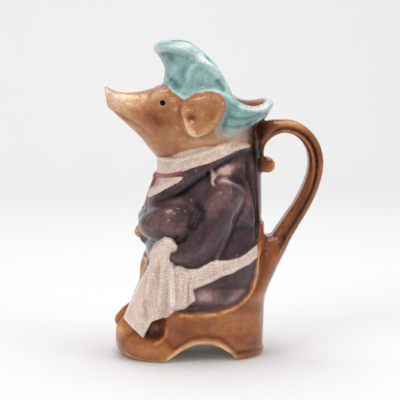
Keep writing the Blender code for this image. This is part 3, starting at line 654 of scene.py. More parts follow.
# Each glaze's colours, from where it pooled or is painted dark as shade to where it drained off or is painted
# light as a highlight: place, red, green, blue.
COLOURS = {
    "skin": [(0.0, 86, 40, 20), (0.24, 128, 68, 36), (0.48, 172, 114, 72), (0.74, 216, 172, 130),
        (1.0, 240, 216, 190)],
    "cap": [(0.0, 44, 78, 80), (0.22, 82, 124, 125), (0.48, 136, 173, 170), (0.68, 182, 208, 205),
        (0.9, 238, 241, 238)],
    "cloth": [(0.05, 146, 116, 102), (0.3, 198, 170, 152), (0.52, 226, 203, 188), (0.9, 244, 230, 220)],
    "jacket": [(0.08, 18, 8, 12), (0.34, 42, 25, 30), (0.54, 74, 50, 54), (0.74, 128, 94, 92),
        (1.0, 200, 166, 158)],
    "wood": [(0.0, 30, 12, 5), (0.24, 82, 38, 14), (0.48, 138, 72, 30), (0.72, 190, 122, 64),
        (1.0, 236, 202, 156)],
    "bare": [(0.1, 206, 190, 178), (0.9, 236, 226, 216)],
    "tie": [(0.1, 90, 36, 42), (0.5, 144, 70, 76), (0.9, 190, 130, 126)],
    "mug": [(0.1, 84, 88, 92), (0.5, 138, 144, 146), (0.9, 206, 208, 206)],
    "inside": [(0.1, 176, 70, 64), (0.5, 222, 108, 98), (0.9, 238, 160, 150)],
}
# How softly each glaze ends, in the order in which they lie over the jacket's.
SOFT_EDGES = [("cloth", 0.5), ("skin", 0.6), ("wood", 0.5), ("cap", 0.6), ("tie", 0.4), ("mug", 0.4),
              ("bare", 0.4), ("inside", 0.9)]
EYE = (-41.6, 194.7)  # in side view
PUPIL = 1.95  # radius of the eye's pupil
CAMERA_AWAY = 1.4
CAMERA_HEIGHT = 0.330
CAMERA_TURN = -5.0  # degrees towards the pig's face
AIM_ALONG = -0.012  # where the camera looks, from the middle of the pitcher's foot
AIM_HEIGHT = 0.118
SENSOR = 36.0  # width of the camera's sensor, in millimetres
VIEW_WIDTH = 0.3012  # what the picture shows across, at the pitcher


def srgb(red, green, blue):
    """A colour as a screen shows it, made linear."""
    shares = [c / 255 for c in (red, green, blue)]
    return tuple(((c + 0.055) / 1.055) ** 2.4 if c > 0.04 else c / 12.92 for c in shares) + (1,)


def glaze_of(form):
    """The glaze a form carries, or torso for the plain body under the clothes."""
    name = form.name.split(".")[0].replace("_host", "")
    return next((glaze for glaze, names in GLAZES.items() if name in names), "torso")


def tree_of(form):
    """A search tree over a form's surface, in carving units."""
    points = [v.co / CARVING for v in form.data.vertices]
    return BVHTree.FromPolygons(points, [tuple(p.vertices) for p in form.data.polygons])


class Surface:
    """The pitcher's points and normals in carving units, with what is carved into them."""

    def __init__(self, mesh):
        self.mesh = mesh
        count = len(mesh.vertices)
        flat = np.empty(count * 3)
        mesh.vertices.foreach_get("co", flat)
        self.points = flat.reshape(-1, 3) / CARVING
        mesh.vertices.foreach_get("normal", flat)
        self.normals = flat.reshape(-1, 3).copy()
        edges = np.empty(len(mesh.edges) * 2, dtype=np.int64)
        mesh.edges.foreach_get("vertices", edges)
        self.edges = edges.reshape(-1, 2)
        self.valence = np.bincount(self.edges.ravel(), minlength=count).astype(float)
        self.rise = np.zeros(count)
        self.glaze_and_light = np.zeros(count)
        self.soft = np.zeros(count)
        self.near = {}

    def spread(self, values, times):
        """Values evened out over the neighbours of each point."""
        values = values.astype(float)
        a, b = self.edges.T
        for _ in range(times):
            if values.ndim == 1:
                total = np.bincount(a, values[b], len(values)) + np.bincount(b, values[a], len(values))
                values = 0.5 * values + 0.5 * total / self.valence
            else:
                values = np.stack([self.spread(column, 1) for column in values.T], 1)
        return values

    def sideways(self):
        """How far each point faces its own side of the figure."""
        y, facing = self.points[:, 1], self.normals[:, 1]
        turned = np.abs(facing) * (np.sign(y) == np.sign(facing))
        return np.clip((turned - 0.08) / 0.35, 0.0, 1.0)

    def tools(self, on, *names):
        """Dab, stroke or melt, held to one glaze."""
        return [partial(getattr(self, name), on=on) for name in names]

    def masked(self, on):
        """How far each point lies on a glaze, or on any if none is named."""
        if on is None:
            return 1.0
        return np.clip(0.5 + self.near[on] / 0.8, 0.0, 1.0)

    def along(self, line):
        """Each point's distance from a side view line, and its share of the way along it."""
        here = self.points[:, [0, 2]]
        best = np.full(len(here), 1e9)
        share = np.zeros(len(here))
        line = np.array(line, float)
        lengths = np.linalg.norm(np.diff(line, axis=0), axis=1)
        before = np.concatenate([[0], np.cumsum(lengths)])
        for i, length in enumerate(lengths):
            step = line[i + 1] - line[i]
            t = np.clip(((here - line[i]) @ step) / length**2, 0, 1)
            gap = np.linalg.norm(here - line[i] - t[:, None] * step, axis=1)
            closer = gap < best
            best[closer] = gap[closer]
            share[closer] = ((before[i] + t * length) / before[-1])[closer]
        return best, share

    def stroke(self, line, rise, glaze_and_light, width, on=None, ends=0.12):
        """Raises or sinks the surface along a side view line, and lightens or darkens its glaze there: thinned
        or pooled glaze, and painted light and shade.
        """
        gap, share = self.along(smoothed(line, 5))
        taper = np.clip(np.minimum(share, 1 - share) / ends, 0, 1) if ends else 1.0
        self.shape(np.exp(-((gap / width) ** 2)) * taper * self.sideways() * self.masked(on), rise, glaze_and_light)

    def shape(self, weight, rise, glaze_and_light):
        """Adds to how far the points rise, and to how light or dark their glaze is: thinned or pooled glaze,
        and painted light and shade.
        """
        self.rise += rise * weight
        self.glaze_and_light += glaze_and_light * weight

    def oval(self, x, z, long, wide, turn):
        """How deep each point lies in an oval of the side view, from 1 at its middle to 0."""
        angle = math.radians(turn)
        dx, dz = self.points[:, 0] - x, self.points[:, 2] - z
        u = dx * math.cos(angle) + dz * math.sin(angle)
        v = dz * math.cos(angle) - dx * math.sin(angle)
        return np.exp(-((u / long) ** 2) - (v / wide) ** 2)

    def dab(self, x, z, rise, glaze_and_light, long, wide=None, turn=0.0, on=None):
        """Raises or sinks an oval spot of the side view, and lightens or darkens its glaze there: thinned or
        pooled glaze, and painted light and shade.
        """
        self.shape(self.oval(x, z, long, wide or long, turn) * self.sideways() * self.masked(on), rise, glaze_and_light)

    def melt(self, x, z, long, wide=None, turn=0.0, on=None):
        """Lets an oval spot of the side view run smooth."""
        self.soft = np.maximum(self.soft, self.oval(x, z, long, wide or long, turn) * self.masked(on))

    def patch(self, outline, glaze, over, half_width=BEYOND):
        """Gives one glaze to the points of another that lie in a side view outline."""
        x, z = self.points[:, 0], self.points[:, 2]
        within = np.zeros(len(x), dtype=bool)
        for (ax, az), (bx, bz) in zip(outline, outline[1:] + outline[:1]):
            if az != bz:
                within ^= ((az > z) != (bz > z)) & (x < ax + (z - az) * (bx - ax) / (bz - az))
        gap = self.along(outline + outline[:1])[0]
        depth = np.where(within, gap, -gap)
        outer = (self.near["inside"] < 0) | (over == "inside")
        changed = (self.near[over] > -1) & outer & (np.abs(self.points[:, 1]) < half_width)
        self.near[glaze] = np.where(changed, np.maximum(self.near[glaze], depth), self.near[glaze])
        self.near[over] = np.where(changed, np.minimum(self.near[over], -depth), self.near[over])

    def blend(self, x, z, long, wide=None, turn=0.0):
        """Lets the glazes run into each other in an oval spot of the side view."""
        share = 1 - 0.85 * self.oval(x, z, long, wide or long, turn)
        self.near = {name: gap * share for name, gap in self.near.items()}

    def spot(self, centre, radius, glaze_and_light):
        """Lightens or darkens the glaze round a point of the figure, also where it faces backwards: painted
        light and shade, and thinned or pooled glaze.
        """
        gap = np.linalg.norm(self.points - np.array(centre, float), axis=1)
        self.glaze_and_light += glaze_and_light * np.exp(-((gap / radius) ** 2))

    def settle(self):
        """Runs the soft spots smooth and moves the points as carved."""
        share = np.clip(1.5 * self.soft, 0, 1)[:, None]
        for _ in range(MELTING):
            self.points = self.points + share * (self.spread(self.points, 1) - self.points)
        self.points = self.points + self.normals * self.spread(self.rise, 1)[:, None]
        flat = (self.points * CARVING).ravel()
        self.mesh.vertices.foreach_set("co", flat)
        self.mesh.update()
        normals = np.empty(len(flat))
        self.mesh.vertices.foreach_get("normal", normals)
        self.normals = normals.reshape(-1, 3).copy()

    def proud(self, times):
        """How far each point stands out from its surroundings."""
        away = self.points - self.spread(self.points, times)
        return (away * self.normals).sum(1)

    def keep(self, name, values):
        """Stores values with the mesh's points, for the material."""
        layer = self.mesh.attributes.new(name, "FLOAT", "POINT")
        layer.data.foreach_set("value", values.astype(np.float32))


def find_glazes(surface, trees):
    """For each glaze, how much nearer a point lies to its forms than to any other's, in units."""
    x, z = surface.points[:, 0], surface.points[:, 2]
    places = surface.points.tolist()
    reach = {name: np.full(len(x), REACH) for name in GLAZES}
    for name, tree in trees:
        hits = (tree.find_nearest(place, REACH)[3] for place in places)
        gaps = np.array([REACH if gap is None else gap for gap in hits])
        zones = {name: np.ones(len(x), dtype=bool)}
        if name == "torso":
            shirt, back = (z > 108) & (x < 16), (x >= 16) & (z < 92)
            zones = {"cloth": shirt, "wood": back, "jacket": ~shirt & ~back}
        for glaze, zone in zones.items():
            reach[glaze] = np.where(zone, np.minimum(reach[glaze], gaps), reach[glaze])
    for name in reach:
        others = np.min([reach[other] for other in reach if other != name], axis=0)
        surface.near[name] = surface.spread(np.clip(others - reach[name], -6, 6), 1)


def clay_body():
    """The fused, hollowed pitcher as one mesh, and a search tree for each form of clay."""
    forms = [upright("torso", TORSO), *stool_forms(), *leg_forms(), *jacket_forms(), *apron_forms(),
             *front_forms(), *head_forms()]
    groups = {}
    for form in forms:
        groups.setdefault(glaze_of(form), []).append(form)
    bodies = {glaze: joined(glaze, members) for glaze, members in groups.items()}
    core, tunnel = cavity(), arch()
    trees = [(glaze, tree_of(body)) for glaze, body in (*bodies.items(), ("inside", core), ("bare", tunnel))]
    pitcher = joined("pitcher", list(bodies.values()))
    grid = FINE_GRID
    remesh(pitcher, "Fuse", grid)
    evaluated(pitcher)
    for cutter in (core, tunnel):
        boolean = pitcher.modifiers.new("Cut", "BOOLEAN")
        boolean.operation = "DIFFERENCE"
        boolean.object = cutter
        boolean.solver = "MANIFOLD"
        evaluated(pitcher)
        bpy.data.objects.remove(cutter)
    remesh(pitcher, "Round", grid)
    soften = pitcher.modifiers.new("Soften", "SMOOTH")
    soften.factor = 0.5
    soften.iterations = 2
    evaluated(pitcher)
    triangles = sum(len(p.vertices) - 2 for p in pitcher.data.polygons)
    if triangles > MOST_TRIANGLES:
        thin = pitcher.modifiers.new("Thin", "DECIMATE")
        thin.ratio = MOST_TRIANGLES / triangles
        evaluated(pitcher)
    return pitcher, trees


def carve_head(s):
    dab, stroke = s.tools("skin", "dab", "stroke")
    # The ear's upper edge runs into the cap, the cap's nape into the neck
    s.melt(-12, 203, 14, 4)
    s.melt(2, 191, 5, 11, 10)
    s.melt(0, 178, 9, 6, 30)
    s.melt(20, 171, 14, 5, 14)
    s.melt(-37, 205, 4, 4)
    s.melt(28, 167, 9, 16)
    s.patch([(5.4, 194), (4, 189.6), (1.4, 184.4), (-0.6, 177.8), (-1.8, 174), (2, 171.6), (9, 169.8),
        (20, 170), (26, 180), (26, 194)], "cap", "skin")
    limb = [(36, 183), (24, 177.6), (18.6, 170.4), (17.4, 166.4), (24, 162.6), (23, 157), (25, 148),
            (44, 148), (44, 183)]
    for glaze in ("skin", "cloth", "cap"):
        s.patch(limb, "wood", glaze)
    s.patch([(-41, 212), (-39.8, 208.7), (-36.1, 204.8), (-32.4, 201.5), (-27.9, 198.6), (-25, 199),
        (-28, 205), (-36, 213)], "cap", "skin")
    s.blend(10, 173, 20, 10, 6)
    s.blend(12, 166.6, 15, 4, 14)
    s.blend(20, 171, 6, 9)
    s.blend(1, 175, 5, 8)
    # Painted shade in the gap between the nape and the handle's limb, also on faces turned to the back
    s.dab(28, 167, 0, -1.5, 7, 14)
    for z in (146, 153, 160, 167, 174, 181):
        for y in (-13, 13):
            s.spot((27.5, y, z), 6, -0.9)
    s.dab(30, 178, 0, -1.2, 5, 5, on="wood")
    s.dab(22, 172, 0, -0.9, 5, 5)
    # Mouth
    stroke([(-79.5, 187.6), (-73, 184.6), (-67.4, 181.4), (-62, 178.2), (-57.4, 175.3), (-54.6, 172.8),
        (-52, 168.6)], -0.5, -0.45, 1.3)
    stroke([(-76, 184.2), (-67, 177.6), (-58, 170.6)], 0.3, 0, 2.2)
    # Brow, cheek and eye socket
    dab(-41.6, 194.7, 0.5, 0, 2.4)
    stroke([(-46.5, 198.5), (-41.5, 200.4), (-36.5, 198.2), (-33.5, 194)], 0.4, 0.1, 1.8)
    # Painted highlight: a short upright streak on the brow
    stroke([(-57, 200.6), (-55.6, 197.4), (-56.4, 193.6)], 0.35, 0.6, 1)
    stroke([(-45, 190.4), (-41, 189), (-37, 190)], -0.3, -0.2, 1.8)
    dab(-44, 181, -0.3, -1, 11, 9)
    dab(-52, 189, 0, -0.5, 9, 7, -20)
    dab(-36, 192, 0, -0.35, 8, 8)
    dab(-78, 197, 0, 0.95, 12, 10)
    # Painted highlight along the top of the snout
    dab(-62, 197, 0, 0.8, 17, 6)
    dab(-58, 176, 0, 0.3, 14, 4, -40)
    dab(-40, 160, 0, -0.3, 14, 12)
    # Wrinkles across the snout
    for x in (-72, -66.5, -61):
        stroke([(x, 201), (x - 1.2, 197), (x - 1.6, 193)], -0.2, -0.1, 0.9)
    # Ear
    stroke([(-26.8, 186), (-25.4, 180), (-23, 174.4), (-18.3, 171), (-13.6, 170)], 0.6, 0.25, 2.2)
    stroke([(-23, 194.1), (-18.3, 197.2), (-7.3, 200.3), (0.5, 198.6)], 0.25, 0.1, 1.8)
    dab(-21.4, 185.4, -1.3, -1.1, 4.2, 3, -10)
    # Painted highlight on the ear's lower lobe
    dab(-20.4, 175.6, 0.5, 0.6, 4, 3.4, -50)
    stroke([(-21, 178.6), (-18, 176.4), (-16.4, 172.6)], -0.4, -0.3, 0.9)
    # Painted shadow behind the ear's back edge
    s.dab(3.4, 181, -0.4, -0.8, 1.8, 8, -14)
    dab(-10, 188, -0.5, -0.1, 8, 7)
    stroke([(-18.5, 192.5), (-14.6, 184), (-14.4, 176.6)], 0.3, 0, 2.2)
    stroke([(-30, 193), (-30.6, 186), (-29, 178), (-25, 172), (-19, 168.6)], -0.3, -0.15, 1.7)
    # Folds of the jowl
    stroke([(-30, 176), (-32, 166), (-31, 157)], -0.25, -0.15, 2.6)
    dab(0, 168.5, 0, 0.3, 22, 4, 14)
    stroke([(-46, 153.2), (-38, 153.8), (-28.7, 154.8), (-21.6, 157.2), (-8.4, 161.4), (7.6, 167)], -0.2,
        -0.5, 1, ends=0)


def carve_cap(s):
    dab, stroke = s.tools("cap", "dab", "stroke")
    # The glaze of the rim runs a little way into the mouth
    s.patch([(-48, 234), (-38, 236.2), (-30, 236.2), (-21, 233.2), (-12, 226.6), (-3, 216.6), (0, 219),
        (-8, 229), (-20, 240), (-30, 243), (-46, 243)], "cap", "inside")
    # Brim, with the fold along its lower edge
    stroke([(-46, 235), (-38, 236.6), (-30, 236.6), (-21, 234), (-11.6, 227), (-3, 217), (4, 206.6),
        (9.4, 197.4)], 0, 0.2, 1.4)
    stroke([(-36.7, 236), (-28.6, 235.4), (-22.7, 233.4), (-18.2, 230.6)], 0.3, 0.5, 0.9)
    # The fold's ridge, pale as a painted highlight
    stroke([(-18.2, 231), (-15.3, 227), (-10.8, 225), (-6.3, 223.6), (-2.6, 221), (1.1, 216.6), (4.5, 211),
        (7.1, 204.7)], 0.7, 0.4, 1.1)
    # Painted reflection of a window: a white spot on the brim
    dab(-12.2, 227.4, 0.3, 1.6, 4.4, 1.5, -34)
    stroke([(-10, 229.6), (-5.6, 225.4)], -0.4, -0.8, 0.9)
    dab(-44, 232, 0, 0.4, 4, 3)
    # Folds under the brim
    stroke([(-43.4, 230.6), (-38, 230.6), (-30, 229.8), (-20.6, 227.6)], -0.7, -0.6, 2.2)
    dab(-34.6, 226.6, -0.5, -0.9, 3.6, 2.2, -30)
    stroke([(-42, 224), (-39.4, 219), (-38.4, 212), (-37, 209)], 0.2, 0.5, 1.4)
    dab(-32, 219.4, 0.5, 0.1, 5.5, 3, 30)
    stroke([(-37.6, 215.4), (-35, 211)], -0.4, -0.6, 0.8)
    stroke([(-36, 212), (-31.6, 208), (-27.6, 204.4)], -0.6, -0.9, 2.4)
    stroke([(-15.3, 224.6), (-19.7, 221), (-22.7, 215.3), (-23.4, 209.4)], 0.5, 0.3, 1.6)
    stroke([(-24, 224), (-26, 217), (-27, 210)], -0.4, -0.25, 1.8)
    dab(-11, 215, 0.4, -0.15, 7, 8)
    dab(-11, 208.6, 0, -0.45, 8, 2.4)
    stroke([(-2.4, 213.4), (1.4, 208), (3.6, 203.6)], -0.7, -0.9, 1.9)
    # Pale edge along the cap's border and over the ear
    stroke([(-39.8, 209.3), (-36.1, 205.2), (-32.4, 202), (-27.9, 199.2), (-24.9, 198.4), (-21.2, 199.8),
        (-15.3, 202.6), (-9, 204), (-2, 203.8), (3, 202), (8.4, 198)], 0.4, 1, 1)
    # Nape
    stroke([(9, 196), (12, 192.8), (17.7, 189.8), (25.8, 187.6), (34, 187.6)], -0.5, -0.5, 1.8)
    stroke([(12, 194.8), (18, 191.8), (26, 190), (34, 190.6), (39.6, 192)], 0.2, 0.9, 2)
    # Painted highlight along the cap's lower edge at the back
    stroke([(37, 185.4), (33, 183), (28, 180.4), (24, 178.4)], 0.3, 1.3, 0.8)
    # Painted highlight on the lip at the back of the rim
    dab(38.6, 194.4, 0, 0.9, 3.6, 3)
    dab(8, 188, -0.3, -0.5, 5, 6)
    dab(12, 175, 0, -0.15, 14, 5, 10)
    stroke([(5, 186), (14, 184), (24, 184.6), (33, 187)], -0.25, -0.6, 1.1)
    stroke([(2, 179), (12, 177.6), (22, 179.4), (31, 183)], -0.25, -0.6, 1.1)
    dab(12, 181, 0, -0.35, 8, 6)


def carve_jacket(s):
    dab, stroke, melt = s.tools("jacket", "dab", "stroke", "melt")
    melt(-3, 122, 30, 13, 52)
    melt(4, 138, 12, 9)
    melt(-24, 113, 9, 8)
    melt(-40, 116, 22, 9, -8)
    dab(-36, 121.4, 1.5, 0, 16, 4.2, 0)
    melt(2, 60, 30, 9, 12)
    melt(14, 112, 8, 22)
    melt(-36, 130, 16, 10, 35)
    s.patch([(-47, 134.6), (-27.5, 141.6), (-25.8, 140), (-34.2, 135), (-42.5, 128.8), (-48.4, 124.2),
        (-52, 121), (-54, 128)], "cloth", "jacket")
    s.patch([(-70, 101.7), (-45, 101.5), (-45, 70), (-70, 70)], "jacket", "mug")
    # Under the lapel, a groove darkened as painted shadow, and the lapel's notch
    stroke([(-51.9, 119.4), (-40.1, 122.6), (-28.2, 129.3), (-14.7, 139.4), (0.6, 149.5), (14.1, 156.1)],
        -0.7, -0.7, 1.7)
    stroke([(-43.4, 125.4), (-40.6, 128.4), (-38.6, 127.4), (-37.8, 124.8)], -0.4, -0.4, 0.9)
    stroke([(-42.4, 127), (-32.4, 134), (-24, 139.6), (-12, 147)], 0.3, 0.05, 1.6)
    # Chest
    # Painted sheen on the chest's bulge
    dab(-36, 116, 0.2, 0.35, 7, 5)
    stroke([(-20.3, 123.5), (-15.2, 118.3), (-14.4, 111.5), (-20.3, 104.7), (-23.7, 101.4)], -0.6, -0.8,
        2.2)
    stroke([(-21, 118.4), (-22.4, 108.2), (-25.8, 98), (-28.8, 92.5)], -0.5, -0.4, 1.5)
    dab(-23, 126, 0, -0.5, 6, 6)
    # Shoulder; the pale squiggle on its fold, the pale patch beside it and the pale line along its arc are
    # painted highlights
    stroke([(-9.4, 146.6), (-8.8, 141), (-9, 136)], -0.7, -0.5, 1.5)
    stroke([(-6.6, 147.6), (-5, 142), (-5.8, 136.6), (-3.4, 134.6)], 1.1, 2.4, 0.9)
    dab(4, 144.5, 0.8, 2.4, 6.2, 4.6, 20)
    stroke([(-3, 139.4), (2.6, 141), (9.4, 139.6), (15.6, 136), (19, 130)], -0.5, -0.4, 1.5)
    stroke([(-3.4, 136.9), (1.6, 138.5), (8.4, 136.7), (15.2, 133.3), (18.6, 128.1)], 0.5, 0.7, 1.3)
    dab(13, 149, 0.2, 0.5, 6, 4)
    dab(15, 137, 0, -0.3, 4, 5)
    dab(24, 150, 0, 0.6, 3.4, 6)
    dab(-24, 133, 0, -0.7, 12, 4, 38)
    # Arm, with the sleeve's edge behind it
    # Painted sheen on the upper arm
    dab(2, 128, 0.2, 0.35, 9, 8)
    dab(-9, 120, 0, 0.4, 7, 10)
    dab(0, 113, 0, -0.3, 6, 6)
    dab(-20, 94, 0, -0.1, 8, 7, 40)
    dab(-2, 102, 0, -0.35, 7, 14, -30)
    stroke([(-11.8, 121.7), (-13, 111.5), (-12, 101), (-17, 91), (-24, 84)], -0.4, -0.25, 2.2)
    stroke([(18.6, 128.1), (13.5, 119.7), (8.5, 111.2), (6.8, 104.4), (1.7, 92.5), (-3.4, 80.5), (-7, 75)],
        0.5, 0.6, 1.1)
    stroke([(20.4, 124), (15.9, 116), (11.2, 108), (9.4, 101), (4.7, 91), (-0.5, 80.5)], -0.6, -0.6, 1.4)
    # Lobe over the lap
    dab(-52, 104, 0.1, 0.35, 4, 9, 10)
    stroke([(-57, 93), (-50, 89.6), (-45, 90.4)], 0.4, 0.9, 1.2)
    # Painted shadow under the lobe, above the napkin
    dab(-38, 96, 0, -0.8, 10, 3)
    # Tail and back
    stroke([(7.5, 99.8), (14.3, 104), (21.1, 103.9), (26.2, 99.5)], -0.4, -0.6, 1.4)
    dab(19, 117, 0.3, 0.5, 5, 10, -20)
    dab(15, 93, 0, -0.35, 9, 8)
    s.stroke([(22.6, 156), (22, 146), (22, 136.7), (25, 127.2), (27.4, 113), (29, 98)], -0.3, -0.7, 2)
    s.dab(31, 112, 0, -0.4, 6, 22)
    # Trousers; the pale spots on the thigh and along the lower edge are painted highlights
    s.melt(-6, 41.5, 26, 3.6)
    s.melt(18, 51, 5, 11, -38)
    s.patch([(-32, 40.8), (-17.9, 41), (-2.7, 42.8), (8.2, 44.8), (16, 49), (22, 55.6), (25.6, 64),
        (27.2, 72), (20, 72), (10, 58), (0, 52), (-32, 50)], "jacket", "wood", 60)
    s.blend(6, 45.4, 18, 3, 18)
    dab(-14, 52.5, 0.4, 1.4, 9, 6)
    dab(4, 48, 0.1, 0.4, 12, 3.5, 4)
    dab(12, 52.4, 0.2, 0.8, 8, 3, 34)
    dab(6, 67, 0, -0.4, 14, 4, 18)
    s.stroke([(-30, 40.8), (-17.9, 40.8), (-2.7, 42), (8.2, 44.4), (16, 48.8), (22, 55.6), (25.4, 65)],
        -0.3, -0.9, 1.6, ends=0)


def carve_cloths(s):
    dab, stroke, melt = s.tools("cloth", "dab", "stroke", "melt")
    dab(-12, 157, 0, -0.35, 9, 4, 16)
    # Collar: a thin line below the neck and a rolled upper edge
    s.stroke([(-46, 151), (-38, 151.6), (-28.7, 152.6), (-21.6, 155.2), (-8.4, 159.4), (7.6, 165),
        (17.3, 167.8)], 0.35, 0.3, 1.1, ends=0)
    stroke([(-46, 148.6), (-38, 149.2), (-28, 150.6), (-19, 153.6), (-7, 157.8), (8, 163.6), (17.3, 166.4)],
        -0.35, -0.35, 0.9, ends=0)
    # Napkin: the front of the lap shows beside it
    s.patch([(-62, 88), (-50, 88), (-48, 76), (-50, 70), (-56.6, 76), (-60, 80)], "jacket", "cloth", 26)
    s.patch([(-64, 78), (-56.4, 74), (-51.9, 66.6), (-54.2, 52), (-64, 52)], "skin", "cloth", 26)
    melt(-39, 77, 3.4, 7)
    melt(-41.5, 62, 3.4, 9, -12)
    melt(-44, 47, 3.4, 8, -12)
    for ridge in ([(-43.6, 83), (-44, 68), (-45.4, 53), (-46.7, 41.5)],
                  [(-36.1, 77.8), (-37, 60.4), (-36.6, 45.2)], [(-51.5, 77.8), (-53.8, 64.2), (-55.4, 49)]):
        stroke(ridge, 0.5, 0.35, 1.1)
    for groove in ([(-45.9, 77.8), (-46.4, 60.4), (-48.2, 40)], [(-39.3, 68), (-39.4, 53), (-39.8, 40)],
                   [(-52.2, 71.8), (-55.9, 58.9), (-57.1, 40)]):
        stroke(groove, -0.35, -0.45, 1)
    dab(-41, 60, 0.4, 0.35, 2.6, 14, -10)
    dab(-37.4, 54, 0.3, 0.9, 2.4, 12)
    stroke([(-36, 81), (-33.4, 67), (-33, 57.4), (-34, 38)], -0.8, -0.8, 1)
    stroke([(-54, 32), (-45, 33), (-39, 35.6), (-33.6, 38.6)], 0.4, 0.4, 1)
    stroke([(-54.4, 31), (-55.6, 40), (-55.4, 50)], -0.5, -0.4, 1)
    stroke([(-69, 33), (-64.1, 28), (-58, 21.4)], 0.4, 0.3, 1.2)
    # Corner of the apron
    for x, low in ((-30, 45), (-26.4, 47), (-23, 51)):
        stroke([(x + 1.6, 71), (x + 0.6, 60), (x, low)], 0.35, 0.3, 0.9)
        stroke([(x + 3.4, 71), (x + 2.4, 60), (x + 1.8, low)], -0.35, -0.35, 0.9)
    # The band ends at the back of the seat
    s.patch([(-2.2, 79.5), (3.7, 79.4), (9.7, 79.7), (14.2, 80.8), (18.6, 82.6), (23.1, 85.2), (28.6, 88),
        (28.6, 100), (-2.2, 100)], "jacket", "cloth")
    s.patch([(28.6, 60), (44, 60), (44, 110), (28.6, 110)], "wood", "cloth", 30)
    # Hems of the apron band
    stroke([(-29, 70.4), (-16.8, 71.6), (-7.8, 76.4), (-1.6, 78.2), (5.5, 78.4), (14.5, 80.6), (26, 85.4)],
        0.35, 0.35, 0.9)
    stroke([(-21.5, 60), (-9.2, 64.9), (-2.1, 68.6), (2.6, 70.5), (8.9, 71.8), (14.5, 74.6), (25.6, 78.8)],
        0.35, 0.35, 0.9)
    stroke([(-21, 63), (-9, 67.6), (0, 71.6), (9, 74.2), (18, 78)], -0.3, -0.4, 0.8)


def carve_stool(s):
    dab, stroke = s.tools("wood", "dab", "stroke")
    stroke([(-30, 38), (-21.6, 37.9), (-2.7, 39.2), (10.1, 42.2), (17.9, 46.8), (24, 53), (27.4, 61),
        (29.2, 70), (30.8, 84)], 0.4, 1.15, 1.1, ends=0)
    stroke([(-41.5, 4.4), (-36.5, 9.6), (-29, 15.4), (-21.4, 19.6), (-11, 21), (-1.6, 19.6), (5.8, 15),
        (11, 9.4), (15, 6.6), (22, 7.4), (30, 9)], -0.3, -0.5, 1.2)
    stroke([(-40.4, 1.4), (-35.4, 6.8), (-28.2, 12.2), (-20.4, 15.4), (-11, 16.4), (-3, 15.4), (3, 11.6),
        (8, 6.6), (11.2, 2.2)], 0.1, 1.2, 0.9, ends=0)
    dab(-62, 18, 0.4, 0.1, 14, 6)
    dab(-75, 24, 0, 0.9, 7, 6)
    dab(-70, 10, 0, -0.5, 9, 8)
    dab(-54, 9, 0, 0.35, 16, 5)
    stroke([(-70, 5), (-64, 2.4), (-54, 1), (-42, 1)], 0, 1.3, 0.9, ends=0)
    dab(-72, 18, 0, 0.2, 5, 6)
    dab(-28, 26, 0, -0.3, 10, 9)
    dab(4, 30, 0, 0.4, 12, 8)
    dab(28, 12, 0, -0.5, 10, 5)
    dab(32, 70, 0, -0.3, 7, 16, -20)
    # Dark hollow of the shoe under the napkin's corner
    s.patch([(-57, 26), (-51.8, 30), (-42.7, 29), (-40.6, 24.7), (-42, 20), (-46.3, 16), (-53.4, 15),
        (-57, 17)], "wood", "jacket")
    dab(-49, 23, -1.6, -1.5, 6.5, 5, 20)
    stroke([(-41.4, 28), (-40.2, 24.6), (-41, 20.6), (-45, 16.6), (-50.3, 14.2)], 0.5, 0.8, 1.1)
    # Handle: a groove between two ridges along its side
    groove = [(44, 76), (50, 87), (56, 97), (62.6, 107), (68, 116.6), (72.8, 127), (75.6, 138), (76.2, 148),
              (74.4, 157), (70, 164.6), (64, 169.6), (57.6, 172.6), (50, 173.2), (43.6, 170.8), (38.6, 166.6)]
    inner = [(x * 0.966 + 0.6, z * 0.982 + 1.2) for x, z in groove]
    stroke(groove, 0, -0.55, 5, ends=0.15)
    stroke(groove, -0.9, -0.9, 1.4, ends=0.06)
    stroke(inner, 0.5, 0.6, 1, ends=0.06)
    # Painted shade along the handle's inner side
    stroke([(x * 0.93 + 1.2, z * 0.965 + 2.4) for x, z in groove], 0, -0.7, 1.8, ends=0.1)
    # Painted highlight along the handle's top
    dab(58, 176, 0, 0.8, 13, 3.4)
    # The limb at the nape and its scroll
    stroke([(41, 176), (35, 170), (32.5, 162), (32.5, 152), (36, 144.4)], 0, -0.5, 4.5, ends=0)
    stroke([(46.7, 173.6), (40, 170.2), (34.6, 164.4), (32.2, 157.4), (32.8, 150.5)], 0.6, 0.7, 1)
    stroke([(36.7, 151), (37.4, 149), (39.4, 148), (41.6, 148.4)], -1.1, -1, 0.9, ends=0)


def glaze_value(s):
    """How thin the glaze lies at each point, with the painted light and shade added: 1 where it drained off an
    edge, -1 where it pooled.
    """
    fine = s.proud(3)
    broad = s.proud(26)
    return s.glaze_and_light + np.clip(fine * 2.2, -0.5, 0.8) + np.clip(broad * 0.42, -0.8, 0.6)


def make_pitcher():
    pitcher, trees = clay_body()
    mesh = pitcher.data
    surface = Surface(mesh)
    find_glazes(surface, trees)
    for carve in (carve_head, carve_cap, carve_jacket, carve_cloths, carve_stool):
        carve(surface)
    surface.settle()
    for name, gap in surface.near.items():
        surface.keep("near_" + name, gap)
    surface.keep("thin", surface.spread(glaze_value(surface), 1))
    mesh.transform(Matrix.Translation((MIDDLE * CARVING, 0, 0)))
    keep_in_box(mesh)
    merge_doubles(mesh)
    mesh.shade_smooth()
    mesh.materials.clear()
    mesh.materials.append(glaze_material())
    return pitcher


def keep_in_box(mesh):
    """Brings points that stand past the solid's bounding box back to it."""
    low, high = (np.array(corner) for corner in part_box("pig_pitcher"))
    flat = np.empty(len(mesh.vertices) * 3)
    mesh.vertices.foreach_get("co", flat)
    points = np.clip(flat.reshape(-1, 3), low, high)
    mesh.vertices.foreach_set("co", points.ravel())
    mesh.update()


